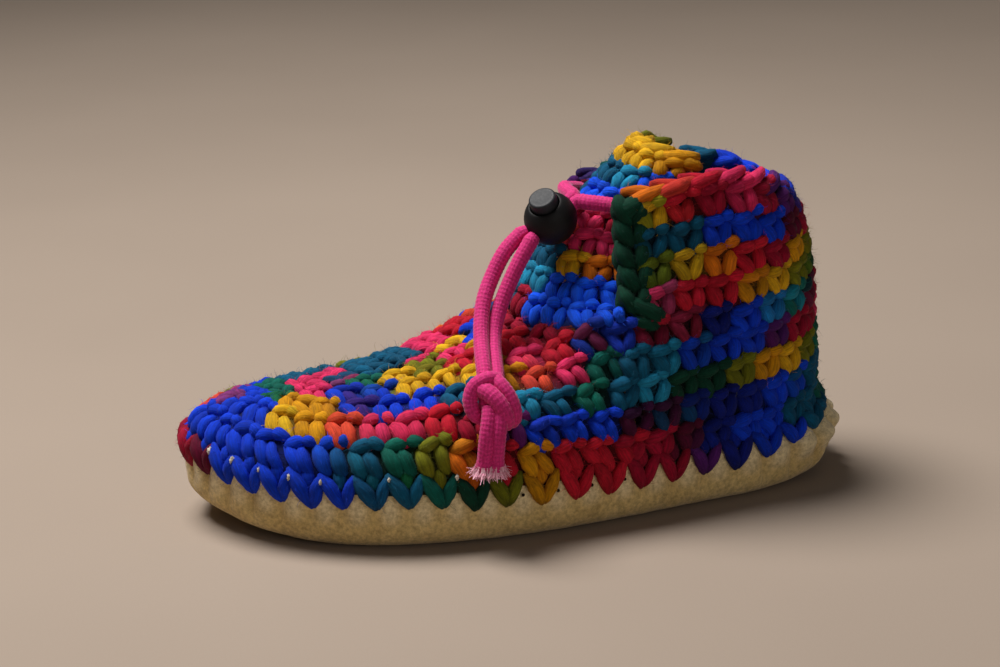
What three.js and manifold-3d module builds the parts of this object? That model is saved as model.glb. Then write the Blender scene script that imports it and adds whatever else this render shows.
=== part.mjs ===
// A crocheted ankle slipper for the left foot: a turned-up suede sole with a fleece insole,
// a chunky wool upper worked in rows round the sole, a wool tongue, and a drawcord with a ball cord lock.
// Millimetres, +Z up, toe towards -Y, outer side of the foot towards +X, floor at Z = 0.
import * as THREE from "three";
import { mergeVertices } from "three/addons/utils/BufferGeometryUtils.js";
import Module from "manifold-3d";

const wasm = await Module();
wasm.setup();

// Driving dimensions
const STITCHES = 44; // stitches in one round at the sole
const ROW = 8.6; // height of one crochet row along the wall
const WALL = 6; // thickness of the crocheted wall
const RELIEF = 0.8; // how far a row stands out at its middle
const STITCH_RELIEF = 0.4; // how far one stitch stands out beside the next
const GAP = 0.35; // clearance between pieces that meet
const EDGE_GAP = 0.8; // clearance of the tongue from the edge of the throat
const LEATHER = 2.4; // suede of the sole
const RIM_HEIGHT = 19; // top of the leather rim at the waist of the sole
const TOE_SPRING = 5; // extra height of the rim and the sole at the toe tip
const HEEL_SPRING = 4; // the same at the back of the heel
const SOLE_ROUND = 7; // radius where the sole turns up into its rim
const TOOTH = 9; // reach of the edge stitches down over the leather
const TOOTH_NOTCH = 4.5; // how far up the leather shows between two edge stitches
const OVERHANG = { toe: 2.4, side: 3.2, heel: 0.9 }; // the wall stands this far outside the leather
const FLEECE = 6; // height of the fleece on the insole
const TONGUE_WALL = 5; // thickness of the tongue
const CORD = 4.6; // drawcord diameter
const LOCK_RADIUS = 8; // ball of the cord lock
const BUTTON_RADIUS = 4.2; // push button of the cord lock
const BUTTON_TRAVEL = 2.6; // stroke of the push button

// Plan of the leather rim, from the toe tip along the outer side to the heel and back along the inner side
const SOLE_OUTLINE = [
  { place: "toe tip", x: -10, y: -101 },
  { place: "small toes", x: 12.5, y: -93 },
  { place: "outer toe corner", x: 27.5, y: -79 },
  { place: "outer ball front", x: 39.5, y: -58 },
  { place: "outer ball", x: 45, y: -34 },
  { place: "outer middle", x: 45.5, y: -6 },
  { place: "outer waist", x: 42, y: 20 },
  { place: "outer heel front", x: 36.5, y: 47 },
  { place: "outer heel", x: 31, y: 72 },
  { place: "outer heel corner", x: 20.5, y: 92.5 },
  { place: "heel", x: 0, y: 100 },
  { place: "inner heel corner", x: -20, y: 92.5 },
  { place: "inner heel", x: -29.5, y: 72 },
  { place: "inner waist", x: -29, y: 42 },
  { place: "inner arch", x: -29.5, y: 12 },
  { place: "inner ball back", x: -33.5, y: -16 },
  { place: "inner ball", x: -37.5, y: -44 },
  { place: "big toe", x: -37, y: -70 },
  { place: "big toe corner", x: -28, y: -91 },
];
const HEEL_POINT = SOLE_OUTLINE.findIndex((p) => p.place === "heel");

// Top line of the vamp along the middle of the foot
const VAMP_RIDGE = [
  { place: "over the toes", x: 1, y: -74, z: 39.5 },
  { place: "ball", x: 3, y: -52, z: 42 },
  { place: "behind the ball", x: 3, y: -36, z: 44.6 },
  { place: "instep", x: 2, y: -20, z: 49.2 },
  { place: "throat", x: 0, y: -3, z: 57.5 },
];

// Collar edge from the front corner of a flap to the back of the ankle
const COLLAR = {
  outer: [
    { place: "front corner", x: 26.5, y: 21.5, z: 95 },
    { place: "front", x: 30, y: 39, z: 99 },
    { place: "side", x: 30.5, y: 58, z: 102 },
    { place: "back side", x: 25.5, y: 73, z: 99 },
    { place: "back corner", x: 14, y: 84.5, z: 92 },
    { place: "back", x: 0, y: 88.5, z: 88 },
  ],
  inner: [
    { place: "front corner", x: -25.5, y: 22, z: 90 },
    { place: "front", x: -29, y: 38, z: 93 },
    { place: "side", x: -29.5, y: 56, z: 95 },
    { place: "back side", x: -25, y: 73, z: 93.5 },
    { place: "back corner", x: -14, y: 84.5, z: 90 },
    { place: "back", x: 0, y: 88.5, z: 88 },
  ],
};

// Where the vamp, the throat and the flaps begin, as shares of the way from toe tip to heel along one side
const THROAT_AT = 0.415;
const FLAP_AT = 0.6;
const SLIT_ROW = 5.5; // the slit beside the tongue starts on top of this row

// Tongue sections, from the throat to the top edge
const TONGUE = [
  { place: "above the throat", front: 2.5, z: 65.5, outer: 26, inner: 20, back: 20, drop: 0 },
  { place: "bend", front: 7.5, z: 76, outer: 22, inner: 18, back: 29, drop: 0 },
  { place: "shin", front: 15.5, z: 86, outer: 19, inner: 17, back: 37, drop: 0 },
  { place: "under the collar", front: 25, z: 95, outer: 18, inner: 17, back: 44, drop: 1 },
  { place: "above the collar", front: 33, z: 103, outer: 19, inner: 17, back: 52, drop: 2.5 },
  { place: "top edge", front: 39, z: 108.5, outer: 19, inner: 16, back: 56, drop: 5 },
];
const FAN = 0.1; // share of the ridge that the columns round the toe tip spread over
const TONGUE_SPREAD = 0.82; // share of the throat that the tongue takes up

// Cord lock: place of its ball, direction of its button, and direction in which the tails leave it
const LOCK_CENTRE = new THREE.Vector3(12.2, 8.3, 88.2);
const LOCK_AXIS = new THREE.Vector3(0.39, -0.4, 0.83).normalize();
const LOCK_EXIT = new THREE.Vector3(0.148, -0.858, -0.49).projectOnPlane(LOCK_AXIS).normalize();
const LOCK_SIDE = new THREE.Vector3().crossVectors(LOCK_AXIS, LOCK_EXIT);
const PINCH = { width: 6, height: 4, entry: 10, exit: 8.8 }; // the two strands squeezed side by side in the lock
const LOCK_HOLE = { width: 7.2, height: 4.8 }; // hole across the ball
const LOCK_BORE = { radius: 4.5, floor: -6.4, top: 6.2 }; // well for the button, measured from the ball's middle
const BUTTON = { foot: -3.6, top: 9.2, chamfer: 0.6 }; // ends of the button, measured from the ball's middle
const SLOT_CORNER = 1.9; // largest corner radius of the hole, the window and the squeezed strands
const BUTTON_SLOT = { width: 6.8, low: -2.3, high: 2.3 + BUTTON_TRAVEL }; // window in the button for the strands

// Drawcord strands behind the lock, from the lock to their ends inside the flaps
const BAR_PATHS = {
  outer: [
    { x: 12.1, y: 16.9, z: 92.5 },
    { x: 14.5, y: 19.5, z: 92.6 },
    { x: 17, y: 24, z: 92.4 },
    { x: 19, y: 29, z: 92 },
  ],
  inner: [
    { x: 9.5, y: 16.1, z: 93.3 },
    { x: 2, y: 16.5, z: 93.4 },
    { x: -6, y: 18.3, z: 92.4 },
    { x: -12.8, y: 20.8, z: 90.5 },
    { x: -16.6, y: 25.2, z: 89.5 },
    { x: -18.2, y: 28.2, z: 89 },
  ],
};

// Drawcord tails, from the lock down over the vamp to the knot
const TAIL_PATHS = {
  outer: [
    { x: 15.8, y: 1.1, z: 82.9 },
    { x: 17.5, y: -3.9, z: 77 },
    { x: 19.5, y: -8.9, z: 69.5 },
    { x: 21.8, y: -12.3, z: 63.7 },
    { x: 25.4, y: -14.8, z: 58.8 },
    { x: 30.5, y: -16.4, z: 55.2 },
    { x: 36.2, y: -17.3, z: 52.4 },
    { x: 42.1, y: -17.7, z: 49.7 },
  ],
  inner: [
    { x: 11.4, y: -0.5, z: 84.3 },
    { x: 13, y: -6.2, z: 79.7 },
    { x: 15, y: -11.5, z: 72.2 },
    { x: 17.5, y: -15.6, z: 66.6 },
    { x: 20.5, y: -18.6, z: 61.6 },
    { x: 25.5, y: -20.8, z: 57 },
    { x: 31.8, y: -22.2, z: 54 },
    { x: 37, y: -22.6, z: 51.6 },
    { x: 41.9, y: -22.6, z: 49.4 },
  ],
};
const KNOT = { x: 47, y: -20.6, z: 45.3, wrap: 3.7, tilt: 0.5, core: 3.2, length: 6 };
const KNOT_AXIS = new THREE.Vector3(0.75, -0.08, -0.65).normalize();

// Drawcord ends below the knot
const END_PATHS = {
  outer: [
    { x: 52.6, y: -18.7, z: 40.6 },
    { x: 53.6, y: -19.6, z: 36 },
    { x: 53.4, y: -20.1, z: 31 },
    { x: 53, y: -20.5, z: 26 },
  ],
  inner: [
    { x: 52, y: -23.6, z: 40.5 },
    { x: 53.1, y: -24.6, z: 36 },
    { x: 52.9, y: -25.1, z: 31 },
    { x: 52.4, y: -25.4, z: 26 },
  ],
};

const COLUMNS = STITCHES; // mesh columns on one side, two to a stitch
const UP = new THREE.Vector3(0, 0, 1);
const { lerp, smoothstep } = THREE.MathUtils;
const vec = (x, y, z) => new THREE.Vector3(x, y, z);
const fromRow = (row) => vec(row.x, row.y, row.z ?? 0);

// Points along a list, evenly spaced by length
class Path {
  constructor(points) {
    this.points = points;
    this.lengths = [0];
    for (let i = 1; i < points.length; i++)
      this.lengths.push(this.lengths[i - 1] + points[i].distanceTo(points[i - 1]));
    this.length = this.lengths.at(-1);
  }
  at(distance) {
    const d = Math.min(Math.max(distance, 0), this.length);
    let i = 1;
    while (i < this.points.length - 1 && this.lengths[i] < d) i++;
    const span = this.lengths[i] - this.lengths[i - 1] || 1;
    return this.points[i - 1].clone().lerp(this.points[i], (d - this.lengths[i - 1]) / span);
  }
  share(s) {
    return this.at(s * this.length);
  }
}

const smoothPath = (rows, steps = 60) =>
  new Path(new THREE.CatmullRomCurve3(rows.map(fromRow), false, "centripetal").getPoints(steps));

// The two sides of the sole outline, each from the toe tip to the heel
function outlineSides() {
  const curve = new THREE.CatmullRomCurve3(SOLE_OUTLINE.map(fromRow), true, "centripetal");
  const steps = 240;
  const heel = HEEL_POINT / SOLE_OUTLINE.length;
  const run = (from, to) =>
    new Path(Array.from({ length: steps + 1 }, (_, i) => curve.getPoint(lerp(from, to, i / steps) % 1)));
  return { outer: run(0, heel), inner: run(1, heel) };
}
const SIDES = outlineSides();
const RIDGE = smoothPath(VAMP_RIDGE);
const COLLAR_PATHS = { outer: smoothPath(COLLAR.outer), inner: smoothPath(COLLAR.inner) };

// Foot of one column: place on the leather's outer face, outward direction and heights
function footing(side, q) {
  const path = SIDES[side];
  const step = 0.004;
  const before = path.share(Math.max(q - step, 0));
  const after = path.share(Math.min(q + step, 1));
  const along = after.sub(before).normalize();
  const out = side === "outer" ? vec(-along.y, along.x, 0).negate() : vec(-along.y, along.x, 0);
  if (q === 0) out.set(0, -1, 0);
  if (q === 1) out.set(0, 1, 0);
  const toe = (1 - smoothstep(q, 0, 0.3)) ** 1.5;
  const heel = smoothstep(q, 0.78, 1) ** 1.5;
  const lift = toe * TOE_SPRING + heel * HEEL_SPRING;
  const front = lerp(OVERHANG.toe, OVERHANG.side, smoothstep(q, 0, 0.3));
  const overhang = lerp(front, OVERHANG.heel, smoothstep(q, 0.68, 0.95));
  return { point: path.share(q), out, rim: RIM_HEIGHT + lift, floor: lift, overhang };
}

// Share of the ridge above a column: the toe columns fan out from the front end of the ridge
function ridgeShare(q) {
  const y = (SIDES.outer.share(q).y + SIDES.inner.share(q).y) / 2;
  const front = VAMP_RIDGE[0].y;
  const end = (SIDES.outer.share(THROAT_AT).y + SIDES.inner.share(THROAT_AT).y) / 2;
  const toe = SIDES.outer.share(0).y;
  const fan = FAN * smoothstep(y, toe, front);
  const straight = Math.max(0, (y - front) / (end - front));
  return Math.min(lerp(fan, 1, straight), 1);
}

// Wall curve from the rim to the top line, as outer and inner paths. A steep wall has its thickness
// along the outward direction of its foot, a flat one along the line from its top to its foot
function wallCurve(foot, top, topAngle, knee) {
  const across = vec(foot.point.x - top.x, foot.point.y - top.y, 0).normalize();
  const outward = across.lerp(foot.out, Math.sin(topAngle) ** 2).normalize();
  const lean = outward.clone().multiplyScalar(-Math.cos(topAngle)).addScaledVector(UP, Math.sin(topAngle));
  const topNormal = UP.clone().multiplyScalar(Math.cos(topAngle)).addScaledVector(outward, Math.sin(topAngle));
  const curve = (offset, topPoint, start) => {
    const base = foot.point.clone().addScaledVector(foot.out, offset).setZ(start);
    const rise = topPoint.z - start;
    const reach = Math.hypot(base.x - topPoint.x, base.y - topPoint.y);
    const lower = base.clone().addScaledVector(UP, rise * knee.lower).addScaledVector(foot.out, knee.bulge);
    const pull = Math.cos(topAngle) * reach + Math.sin(topAngle) * rise;
    const upper = topPoint.clone().addScaledVector(lean, -pull * knee.upper);
    return new Path(new THREE.CubicBezierCurve3(base, lower, upper, topPoint).getPoints(48));
  };
  return {
    outer: curve(foot.overhang, top, foot.rim),
    inner: curve(foot.overhang - WALL, top.clone().addScaledVector(topNormal, -WALL), foot.rim + GAP),
  };
}

// Fullness of the wall: reach of its curve up from the rim, back from the top line, and out to the side
const KNEES = {
  toe: { lower: 0.5, upper: 0.58, bulge: 0 },
  vamp: { lower: 0.6, upper: 0.6, bulge: 1.5 },
  slit: { lower: 0.48, upper: 0.4, bulge: 2.5 },
  heel: { lower: 0.22, upper: 0.36, bulge: -9 },
};
const SLIT_LEAN = THREE.MathUtils.degToRad(86); // slope of the wall at the front corner of a flap
const HEEL_LEAN = THREE.MathUtils.degToRad(62); // slope of the wall at the back of the collar

const knee = (from, to, share) =>
  Object.fromEntries(Object.keys(from).map((key) => [key, lerp(from[key], to[key], share)]));

const flapCurve = (side, q) => {
  const top = COLLAR_PATHS[side].share((q - FLAP_AT) / (1 - FLAP_AT));
  const share = smoothstep(q, FLAP_AT, 0.97);
  return wallCurve(footing(side, q), top, lerp(SLIT_LEAN, HEEL_LEAN, share), knee(KNEES.slit, KNEES.heel, share));
};

// Point of the throat line: a quarter of an oval from the end of the ridge to the foot of the slit
function throatPoint(side, s) {
  const start = RIDGE.share(1);
  const end = flapCurve(side, FLAP_AT).outer.at(SLIT_ROW * ROW);
  const turn = (s * Math.PI) / 2;
  return vec(
    lerp(start.x, end.x, Math.sin(turn)),
    lerp(start.y, end.y, 1 - Math.cos(turn)),
    lerp(start.z, end.z, s * s),
  );
}

// The wall above one column, with the lengths at which its rows end
function column(side, q) {
  if (q >= FLAP_AT) return flapCurve(side, q);
  const foot = footing(side, q);
  if (q <= THROAT_AT)
    return wallCurve(foot, RIDGE.share(ridgeShare(q)), 0, knee(KNEES.toe, KNEES.vamp, smoothstep(q, 0, 0.25)));
  const s = (q - THROAT_AT) / (FLAP_AT - THROAT_AT);
  return wallCurve(foot, throatPoint(side, s), SLIT_LEAN * smoothstep(s, 0, 1), knee(KNEES.vamp, KNEES.slit, s));
}

// Builds a closed mesh from a grid of outer and inner points; open edges of the grid get a wall
class Shell {
  constructor() {
    this.ids = new Map();
    this.pairs = [];
    this.faces = [];
  }
  point(outer, inner) {
    const key = outer.toArray().map((v) => v.toFixed(3)).join();
    if (!this.ids.has(key)) {
      this.ids.set(key, this.pairs.length);
      this.pairs.push([outer, inner]);
    }
    return this.ids.get(key);
  }
  quad(a, b, c, d) {
    for (const face of [[a, b, c], [a, c, d]]) if (new Set(face).size === 3) this.faces.push(face);
  }
  geometry() {
    const seen = new Set(this.faces.flatMap(([a, b, c]) => [`${a},${b}`, `${b},${c}`, `${c},${a}`]));
    const count = this.pairs.length;
    const triangles = [];
    for (const [a, b, c] of this.faces) {
      triangles.push([a, b, c], [a + count, c + count, b + count]);
      for (const [p, q] of [[a, b], [b, c], [c, a]])
        if (!seen.has(`${q},${p}`)) triangles.push([q, p, p + count], [q, p + count, q + count]);
    }
    return meshGeometry([...this.pairs.map((p) => p[0]), ...this.pairs.map((p) => p[1])], triangles);
  }
}

function meshGeometry(points, triangles) {
  const geometry = new THREE.BufferGeometry().setFromPoints(points);
  geometry.setIndex(triangles.flat());
  if (signedVolume(points, triangles) < 0) geometry.setIndex(triangles.flatMap(([a, b, c]) => [a, c, b]));
  geometry.computeVertexNormals();
  return geometry;
}

const signedVolume = (points, triangles) =>
  triangles.reduce((sum, [a, b, c]) => sum + points[a].dot(points[b].clone().cross(points[c])) / 6, 0);

// A closed manifold-3d solid from a three.js geometry, and back
function solid(geometry) {
  const bare = new THREE.BufferGeometry().setAttribute("position", geometry.getAttribute("position").clone());
  bare.setIndex(geometry.index ? geometry.index.clone() : null);
  const merged = mergeVertices(bare, 1e-4);
  const mesh = new wasm.Mesh({
    numProp: 3,
    vertProperties: merged.attributes.position.array,
    triVerts: new Uint32Array(merged.index.array),
  });
  return new wasm.Manifold(mesh);
}

function fromSolid(made) {
  const mesh = made.getMesh();
  const geometry = new THREE.BufferGeometry();
  geometry.setAttribute("position", new THREE.BufferAttribute(new Float32Array(mesh.vertProperties), 3));
  geometry.setIndex(Array.from(mesh.triVerts));
  geometry.computeVertexNormals();
  return geometry;
}

// Crocheted upper: vamp, quarters and collar in one wall, with its rows and edge stitches raised
function upperGeometry() {
  const shell = new Shell();
  const rings = Math.ceil((COLLAR.outer[2].z + 10) / (ROW / 2));
  const slitRing = 2 + SLIT_ROW * 2;
  const makeColumn = (side, i) => {
    const q = i / COLUMNS;
    const foot = footing(side, q);
    const wall = column(side, q);
    const inStitch = i % 2 === 0;
    const edge = foot.rim - (inStitch ? TOOTH : TOOTH_NOTCH);
    const beside = (offset, z) => foot.point.clone().addScaledVector(foot.out, offset).setZ(z);
    const ids = [
      shell.point(beside(Math.max(foot.overhang - 1.4, GAP + 0.4), edge), beside(GAP, edge)),
      shell.point(beside(foot.overhang, foot.rim - TOOTH_NOTCH * 0.7), beside(GAP, foot.rim + GAP)),
    ];
    for (let k = 0; k <= rings; k++) {
      const d = Math.min((k * ROW) / 2, wall.outer.length);
      const share = d / wall.outer.length;
      const place = wall.outer.at(d);
      const ended = share > 0.999;
      const rib = k % 2 === 1 ? RELIEF : -RELIEF / 2;
      const bump = (k % 4 === 1) === inStitch ? STITCH_RELIEF : 0;
      if (!ended && k > 0) {
        const ahead = wall.outer.at(d + 0.5).sub(place);
        const flat = foot.out.clone();
        const rise = ahead.z;
        const run = -ahead.dot(flat);
        place.addScaledVector(flat.multiplyScalar(rise).addScaledVector(UP, run).normalize(), rib + bump);
      }
      ids.push(shell.point(place, wall.inner.share(share)));
    }
    return ids;
  };
  const outer = Array.from({ length: COLUMNS + 1 }, (_, i) => makeColumn("outer", i));
  const inner = Array.from({ length: COLUMNS + 1 }, (_, i) => makeColumn("inner", i));
  const flapColumn = Math.ceil(FLAP_AT * COLUMNS);
  const join = (left, right, last) => {
    for (let k = 0; k < last; k++) shell.quad(left[k], right[k], right[k + 1], left[k + 1]);
  };
  for (let i = 0; i < COLUMNS; i++) {
    const last = i + 1 === flapColumn ? slitRing : outer[i].length - 1;
    join(outer[i], outer[i + 1], last);
    join(inner[i + 1], inner[i], last);
  }
  return shell.geometry();
}

// Closed loops round the foot: both sides of a column list joined into rings
function ring(place) {
  const outer = Array.from({ length: COLUMNS + 1 }, (_, i) => place("outer", i / COLUMNS));
  const inner = Array.from({ length: COLUMNS - 1 }, (_, i) => place("inner", (COLUMNS - 1 - i) / COLUMNS));
  return [...outer, ...inner];
}

// A solid skinned over rings, with the first and last ring closed by strips across the foot
function ringGeometry(rings) {
  const n = rings[0].length;
  const points = rings.flat();
  const triangles = [];
  for (let r = 0; r + 1 < rings.length; r++)
    for (let i = 0; i < n; i++) {
      const j = (i + 1) % n;
      const [a, b, c, d] = [r * n + i, r * n + j, (r + 1) * n + j, (r + 1) * n + i];
      triangles.push([a, b, c], [a, c, d]);
    }
  const cap = (start, turn) => {
    for (let i = 0; i < COLUMNS; i++) {
      const strip = [i, i + 1, (n - i - 1) % n, (n - i) % n].map((k) => start + k);
      for (const face of [[strip[0], strip[2], strip[1]], [strip[0], strip[3], strip[2]]])
        if (new Set(face).size === 3) triangles.push(turn ? [face[0], face[2], face[1]] : face);
    }
  };
  cap(0, false);
  cap((rings.length - 1) * n, true);
  return meshGeometry(points, triangles);
}

// Suede sole: flat tread, rounded edge and a rim that stands up round the foot
function outsoleGeometry() {
  const turns = [0, 0.5, 1];
  const tread = (side, q, inset, rise) => {
    const foot = footing(side, q);
    return foot.point.clone().addScaledVector(foot.out, -inset).setZ(foot.floor + rise);
  };
  const rounded = (radius, offset) =>
    turns.map((t) =>
      ring((side, q) => {
        const angle = (t * Math.PI) / 2;
        return tread(side, q, offset + radius * (1 - Math.sin(angle)), offset + radius * (1 - Math.cos(angle)));
      }),
    );
  const rimTop = (inset) =>
    ring((side, q) => {
      const foot = footing(side, q);
      return foot.point.clone().addScaledVector(foot.out, -inset).setZ(foot.rim);
    });
  const outside = rounded(SOLE_ROUND, 0);
  const inside = rounded(SOLE_ROUND - LEATHER, LEATHER).reverse();
  return ringGeometry([...outside, rimTop(0), rimTop(LEATHER), ...inside]);
}

// Fleece insole: a soft pad that fills the floor of the sole
function insoleGeometry() {
  const inset = LEATHER + GAP;
  const layers = [
    { place: "under edge", inset: inset + SOLE_ROUND - LEATHER, rise: 0 },
    { place: "lower side", inset: inset + 1.4, rise: 2.6 },
    { place: "top edge", inset: inset + 2.5, rise: FLEECE },
  ];
  return ringGeometry(
    layers.map((layer) =>
      ring((side, q) => {
        const foot = footing(side, q);
        const z = foot.floor + LEATHER + GAP + layer.rise;
        return foot.point.clone().addScaledVector(foot.out, -layer.inset).setZ(z);
      }),
    ),
  );
}

// Tongue: a curved flap that continues the wall from the throat, behind the slit's flaps
function tongueGeometry() {
  const across = 18;
  const up = 12;
  const sections = TONGUE.map((row) => vec(row.front, row.z, 0));
  const front = new THREE.CatmullRomCurve3(sections, false, "centripetal");
  const column3 = (key) => TONGUE.map((row) => vec(row[key], 0, 0));
  const follow = (key) => new THREE.CatmullRomCurve3(column3(key), false, "centripetal");
  const [outer, inner, back, drop] = ["outer", "inner", "back", "drop"].map(follow);
  const surface = (a, b) => {
    const spine = front.getPoint(b);
    const turn = a * THREE.MathUtils.degToRad(84);
    const reach = back.getPoint(b).x - spine.x;
    return vec(
      (a >= 0 ? outer : inner).getPoint(b).x * Math.sin(turn),
      spine.x + reach * (1 - Math.cos(turn)),
      spine.y - drop.getPoint(b).x * a * a,
    );
  };
  const edge = (a) => {
    const side = a >= 0 ? "outer" : "inner";
    const s = Math.abs(a) * TONGUE_SPREAD;
    const q = lerp(THROAT_AT, FLAP_AT, s);
    const wall = column(side, q);
    const [face, lining] = [wall.outer.share(1), wall.inner.share(1)];
    const next = column(side, q + 0.004).outer.share(1).sub(face);
    const away = next.cross(face.clone().sub(lining)).normalize();
    if (away.dot(surface(a, 0).sub(lining)) < 0) away.negate();
    return [face, lining].map((p) => p.addScaledVector(away, EDGE_GAP));
  };
  const shell = new Shell();
  const grid = Array.from({ length: across + 1 }, (_, i) => {
    const a = (2 * i) / across - 1;
    const ids = [shell.point(...edge(a))];
    for (let k = 0; k <= up; k++) {
      const b = k / up;
      const place = surface(a, b);
      const step = 0.01;
      const alongA = surface(Math.min(a + step, 1), b).sub(surface(Math.max(a - step, -1), b));
      const alongB = surface(a, Math.min(b + step, 1)).sub(surface(a, Math.max(b - step, 0)));
      const normal = alongA.cross(alongB).normalize();
      const rib = k % 2 === 1 && k < up ? RELIEF : 0;
      ids.push(
        shell.point(place.clone().addScaledVector(normal, rib), place.clone().addScaledVector(normal, -TONGUE_WALL)),
      );
    }
    return ids;
  });
  for (let i = 0; i < across; i++)
    for (let k = 0; k <= up; k++) shell.quad(grid[i][k], grid[i + 1][k], grid[i + 1][k + 1], grid[i][k + 1]);
  return shell.geometry();
}

// A rounded rectangle, centred sideways, between two heights
function roundedSlot(width, low, high) {
  const radius = Math.min(0.45 * Math.min(width, high - low), SLOT_CORNER);
  const corner = { x: width / 2 - radius, low: low + radius, high: high - radius };
  const shape = new THREE.Shape();
  shape.absarc(corner.x, corner.low, radius, -Math.PI / 2, 0);
  shape.absarc(corner.x, corner.high, radius, 0, Math.PI / 2);
  shape.absarc(-corner.x, corner.high, radius, Math.PI / 2, Math.PI);
  shape.absarc(-corner.x, corner.low, radius, Math.PI, 1.5 * Math.PI);
  return shape;
}

// A bar with a rounded rectangular section along the lock's exit direction
function slotBar(width, low, high, from, to) {
  const shape = roundedSlot(width, low, high);
  const bar = new THREE.ExtrudeGeometry(shape, { depth: to - from, bevelEnabled: false, curveSegments: 4 });
  return bar.translate(0, 0, from);
}

const LOCK_PLACE = new THREE.Matrix4().makeBasis(LOCK_SIDE, LOCK_AXIS, LOCK_EXIT).setPosition(LOCK_CENTRE);
const THROUGH = 2 * LOCK_RADIUS; // longer than the lock is wide

// Ball of the cord lock, with a well for the button and a hole across it for the strands
function lockBodyGeometry() {
  const steps = 8;
  const topAngle = Math.asin(LOCK_BORE.top / LOCK_RADIUS);
  const profile = Array.from({ length: steps + 1 }, (_, i) => {
    const angle = lerp(-Math.PI / 2, topAngle, i / steps);
    return new THREE.Vector2(i === 0 ? 0 : LOCK_RADIUS * Math.cos(angle), LOCK_RADIUS * Math.sin(angle));
  });
  profile.push(new THREE.Vector2(LOCK_BORE.radius, LOCK_BORE.top));
  profile.push(new THREE.Vector2(LOCK_BORE.radius, LOCK_BORE.floor));
  profile.push(new THREE.Vector2(0, LOCK_BORE.floor));
  const ball = solid(new THREE.LatheGeometry(profile, 18));
  const half = LOCK_HOLE.height / 2;
  const hole = solid(slotBar(LOCK_HOLE.width, -half, half, -THROUGH, THROUGH));
  return fromSolid(ball.subtract(hole)).applyMatrix4(LOCK_PLACE);
}

// Push button of the cord lock, with a window that the strands pass through at every stroke
function lockButtonGeometry() {
  const { foot, top, chamfer } = BUTTON;
  const profile = [
    new THREE.Vector2(0, foot),
    new THREE.Vector2(BUTTON_RADIUS, foot),
    new THREE.Vector2(BUTTON_RADIUS, top - chamfer),
    new THREE.Vector2(BUTTON_RADIUS - chamfer, top),
    new THREE.Vector2(0, top),
  ];
  const pin = solid(new THREE.LatheGeometry(profile, 24));
  const window = solid(slotBar(BUTTON_SLOT.width, BUTTON_SLOT.low, BUTTON_SLOT.high, -THROUGH, THROUGH));
  return fromSolid(pin.subtract(window)).applyMatrix4(LOCK_PLACE);
}

// A round cord along a row of points
function cordGeometry(rows, stepLength = 1.6 * CORD) {
  const path = new THREE.CatmullRomCurve3(rows.map(fromRow), false, "centripetal");
  const steps = Math.max(3, Math.round(path.getLength() / stepLength));
  const section = new THREE.Shape().absarc(0, 0, CORD / 2, 0, 2 * Math.PI);
  return new THREE.ExtrudeGeometry(section, { steps, extrudePath: path, curveSegments: 8, bevelEnabled: false });
}

// The two strands behind the lock, joined where the lock squeezes them side by side
function drawcordBarsGeometry() {
  const half = PINCH.height / 2;
  const pinch = slotBar(PINCH.width, -half, half, -PINCH.entry, PINCH.exit).applyMatrix4(LOCK_PLACE);
  const strands = [BAR_PATHS.outer, BAR_PATHS.inner].map((rows) => solid(cordGeometry(rows)));
  return fromSolid(solid(pinch).add(strands[0]).add(strands[1]));
}

// Overhand knot: two crossed wraps round the middle of the cords
function knotGeometry() {
  const centre = fromRow(KNOT);
  const turn = new THREE.Quaternion().setFromUnitVectors(UP, KNOT_AXIS);
  const wrap = (side) => {
    const ring = new THREE.TorusGeometry(KNOT.wrap, CORD * 0.46, 6, 10);
    ring.rotateY(side * KNOT.tilt).translate(0, 0, side * 1.6);
    return solid(ring);
  };
  const core = new THREE.CapsuleGeometry(KNOT.core, KNOT.length, 2, 8).rotateX(Math.PI / 2);
  const joined = fromSolid(solid(core).add(wrap(1)).add(wrap(-1)));
  return joined.applyQuaternion(turn).translate(centre.x, centre.y, centre.z);
}

const material = (color, roughness, metalness = 0) =>
  new THREE.MeshStandardMaterial({ color, roughness, metalness, flatShading: true });
const MATERIALS = {
  wool: material(0x1f3fae, 0.95),
  suede: material(0xb9a06a, 0.95),
  fleece: material(0xe9dfc8, 1),
  cord: material(0xd81b6a, 0.9),
  plastic: material(0x151517, 0.55),
};

const slipper = new THREE.Group();
function add(name, geometry, look) {
  const mesh = new THREE.Mesh(geometry, look);
  mesh.name = name;
  slipper.add(mesh);
  return mesh;
}

add("outsole", outsoleGeometry(), MATERIALS.suede);
add("insole", insoleGeometry(), MATERIALS.fleece);
add("upper", upperGeometry(), MATERIALS.wool);
add("tongue", tongueGeometry(), MATERIALS.wool);

// The origin is on the floor under the middle of the slipper
const middle = new THREE.Box3().setFromObject(slipper).getCenter(vec());

add("lock_body", lockBodyGeometry(), MATERIALS.plastic);
add("lock_button", lockButtonGeometry(), MATERIALS.plastic);
add("drawcord_bars", drawcordBarsGeometry(), MATERIALS.cord);
add("drawcord_tail_outer", cordGeometry(TAIL_PATHS.outer), MATERIALS.cord);
add("drawcord_tail_inner", cordGeometry(TAIL_PATHS.inner), MATERIALS.cord);
add("drawcord_knot", knotGeometry(), MATERIALS.cord);
add("drawcord_end_outer", cordGeometry(END_PATHS.outer), MATERIALS.cord);
add("drawcord_end_inner", cordGeometry(END_PATHS.inner), MATERIALS.cord);

for (const mesh of slipper.children) mesh.geometry.translate(-middle.x, -middle.y, 0);

export default slipper;
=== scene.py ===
"""A crocheted ankle slipper for the left foot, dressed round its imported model.

Lengths are in millimetres in the tables and become metres when a mesh is made.
"""
import math

import bpy
import numpy as np
from mathutils import Matrix, Vector


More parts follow.
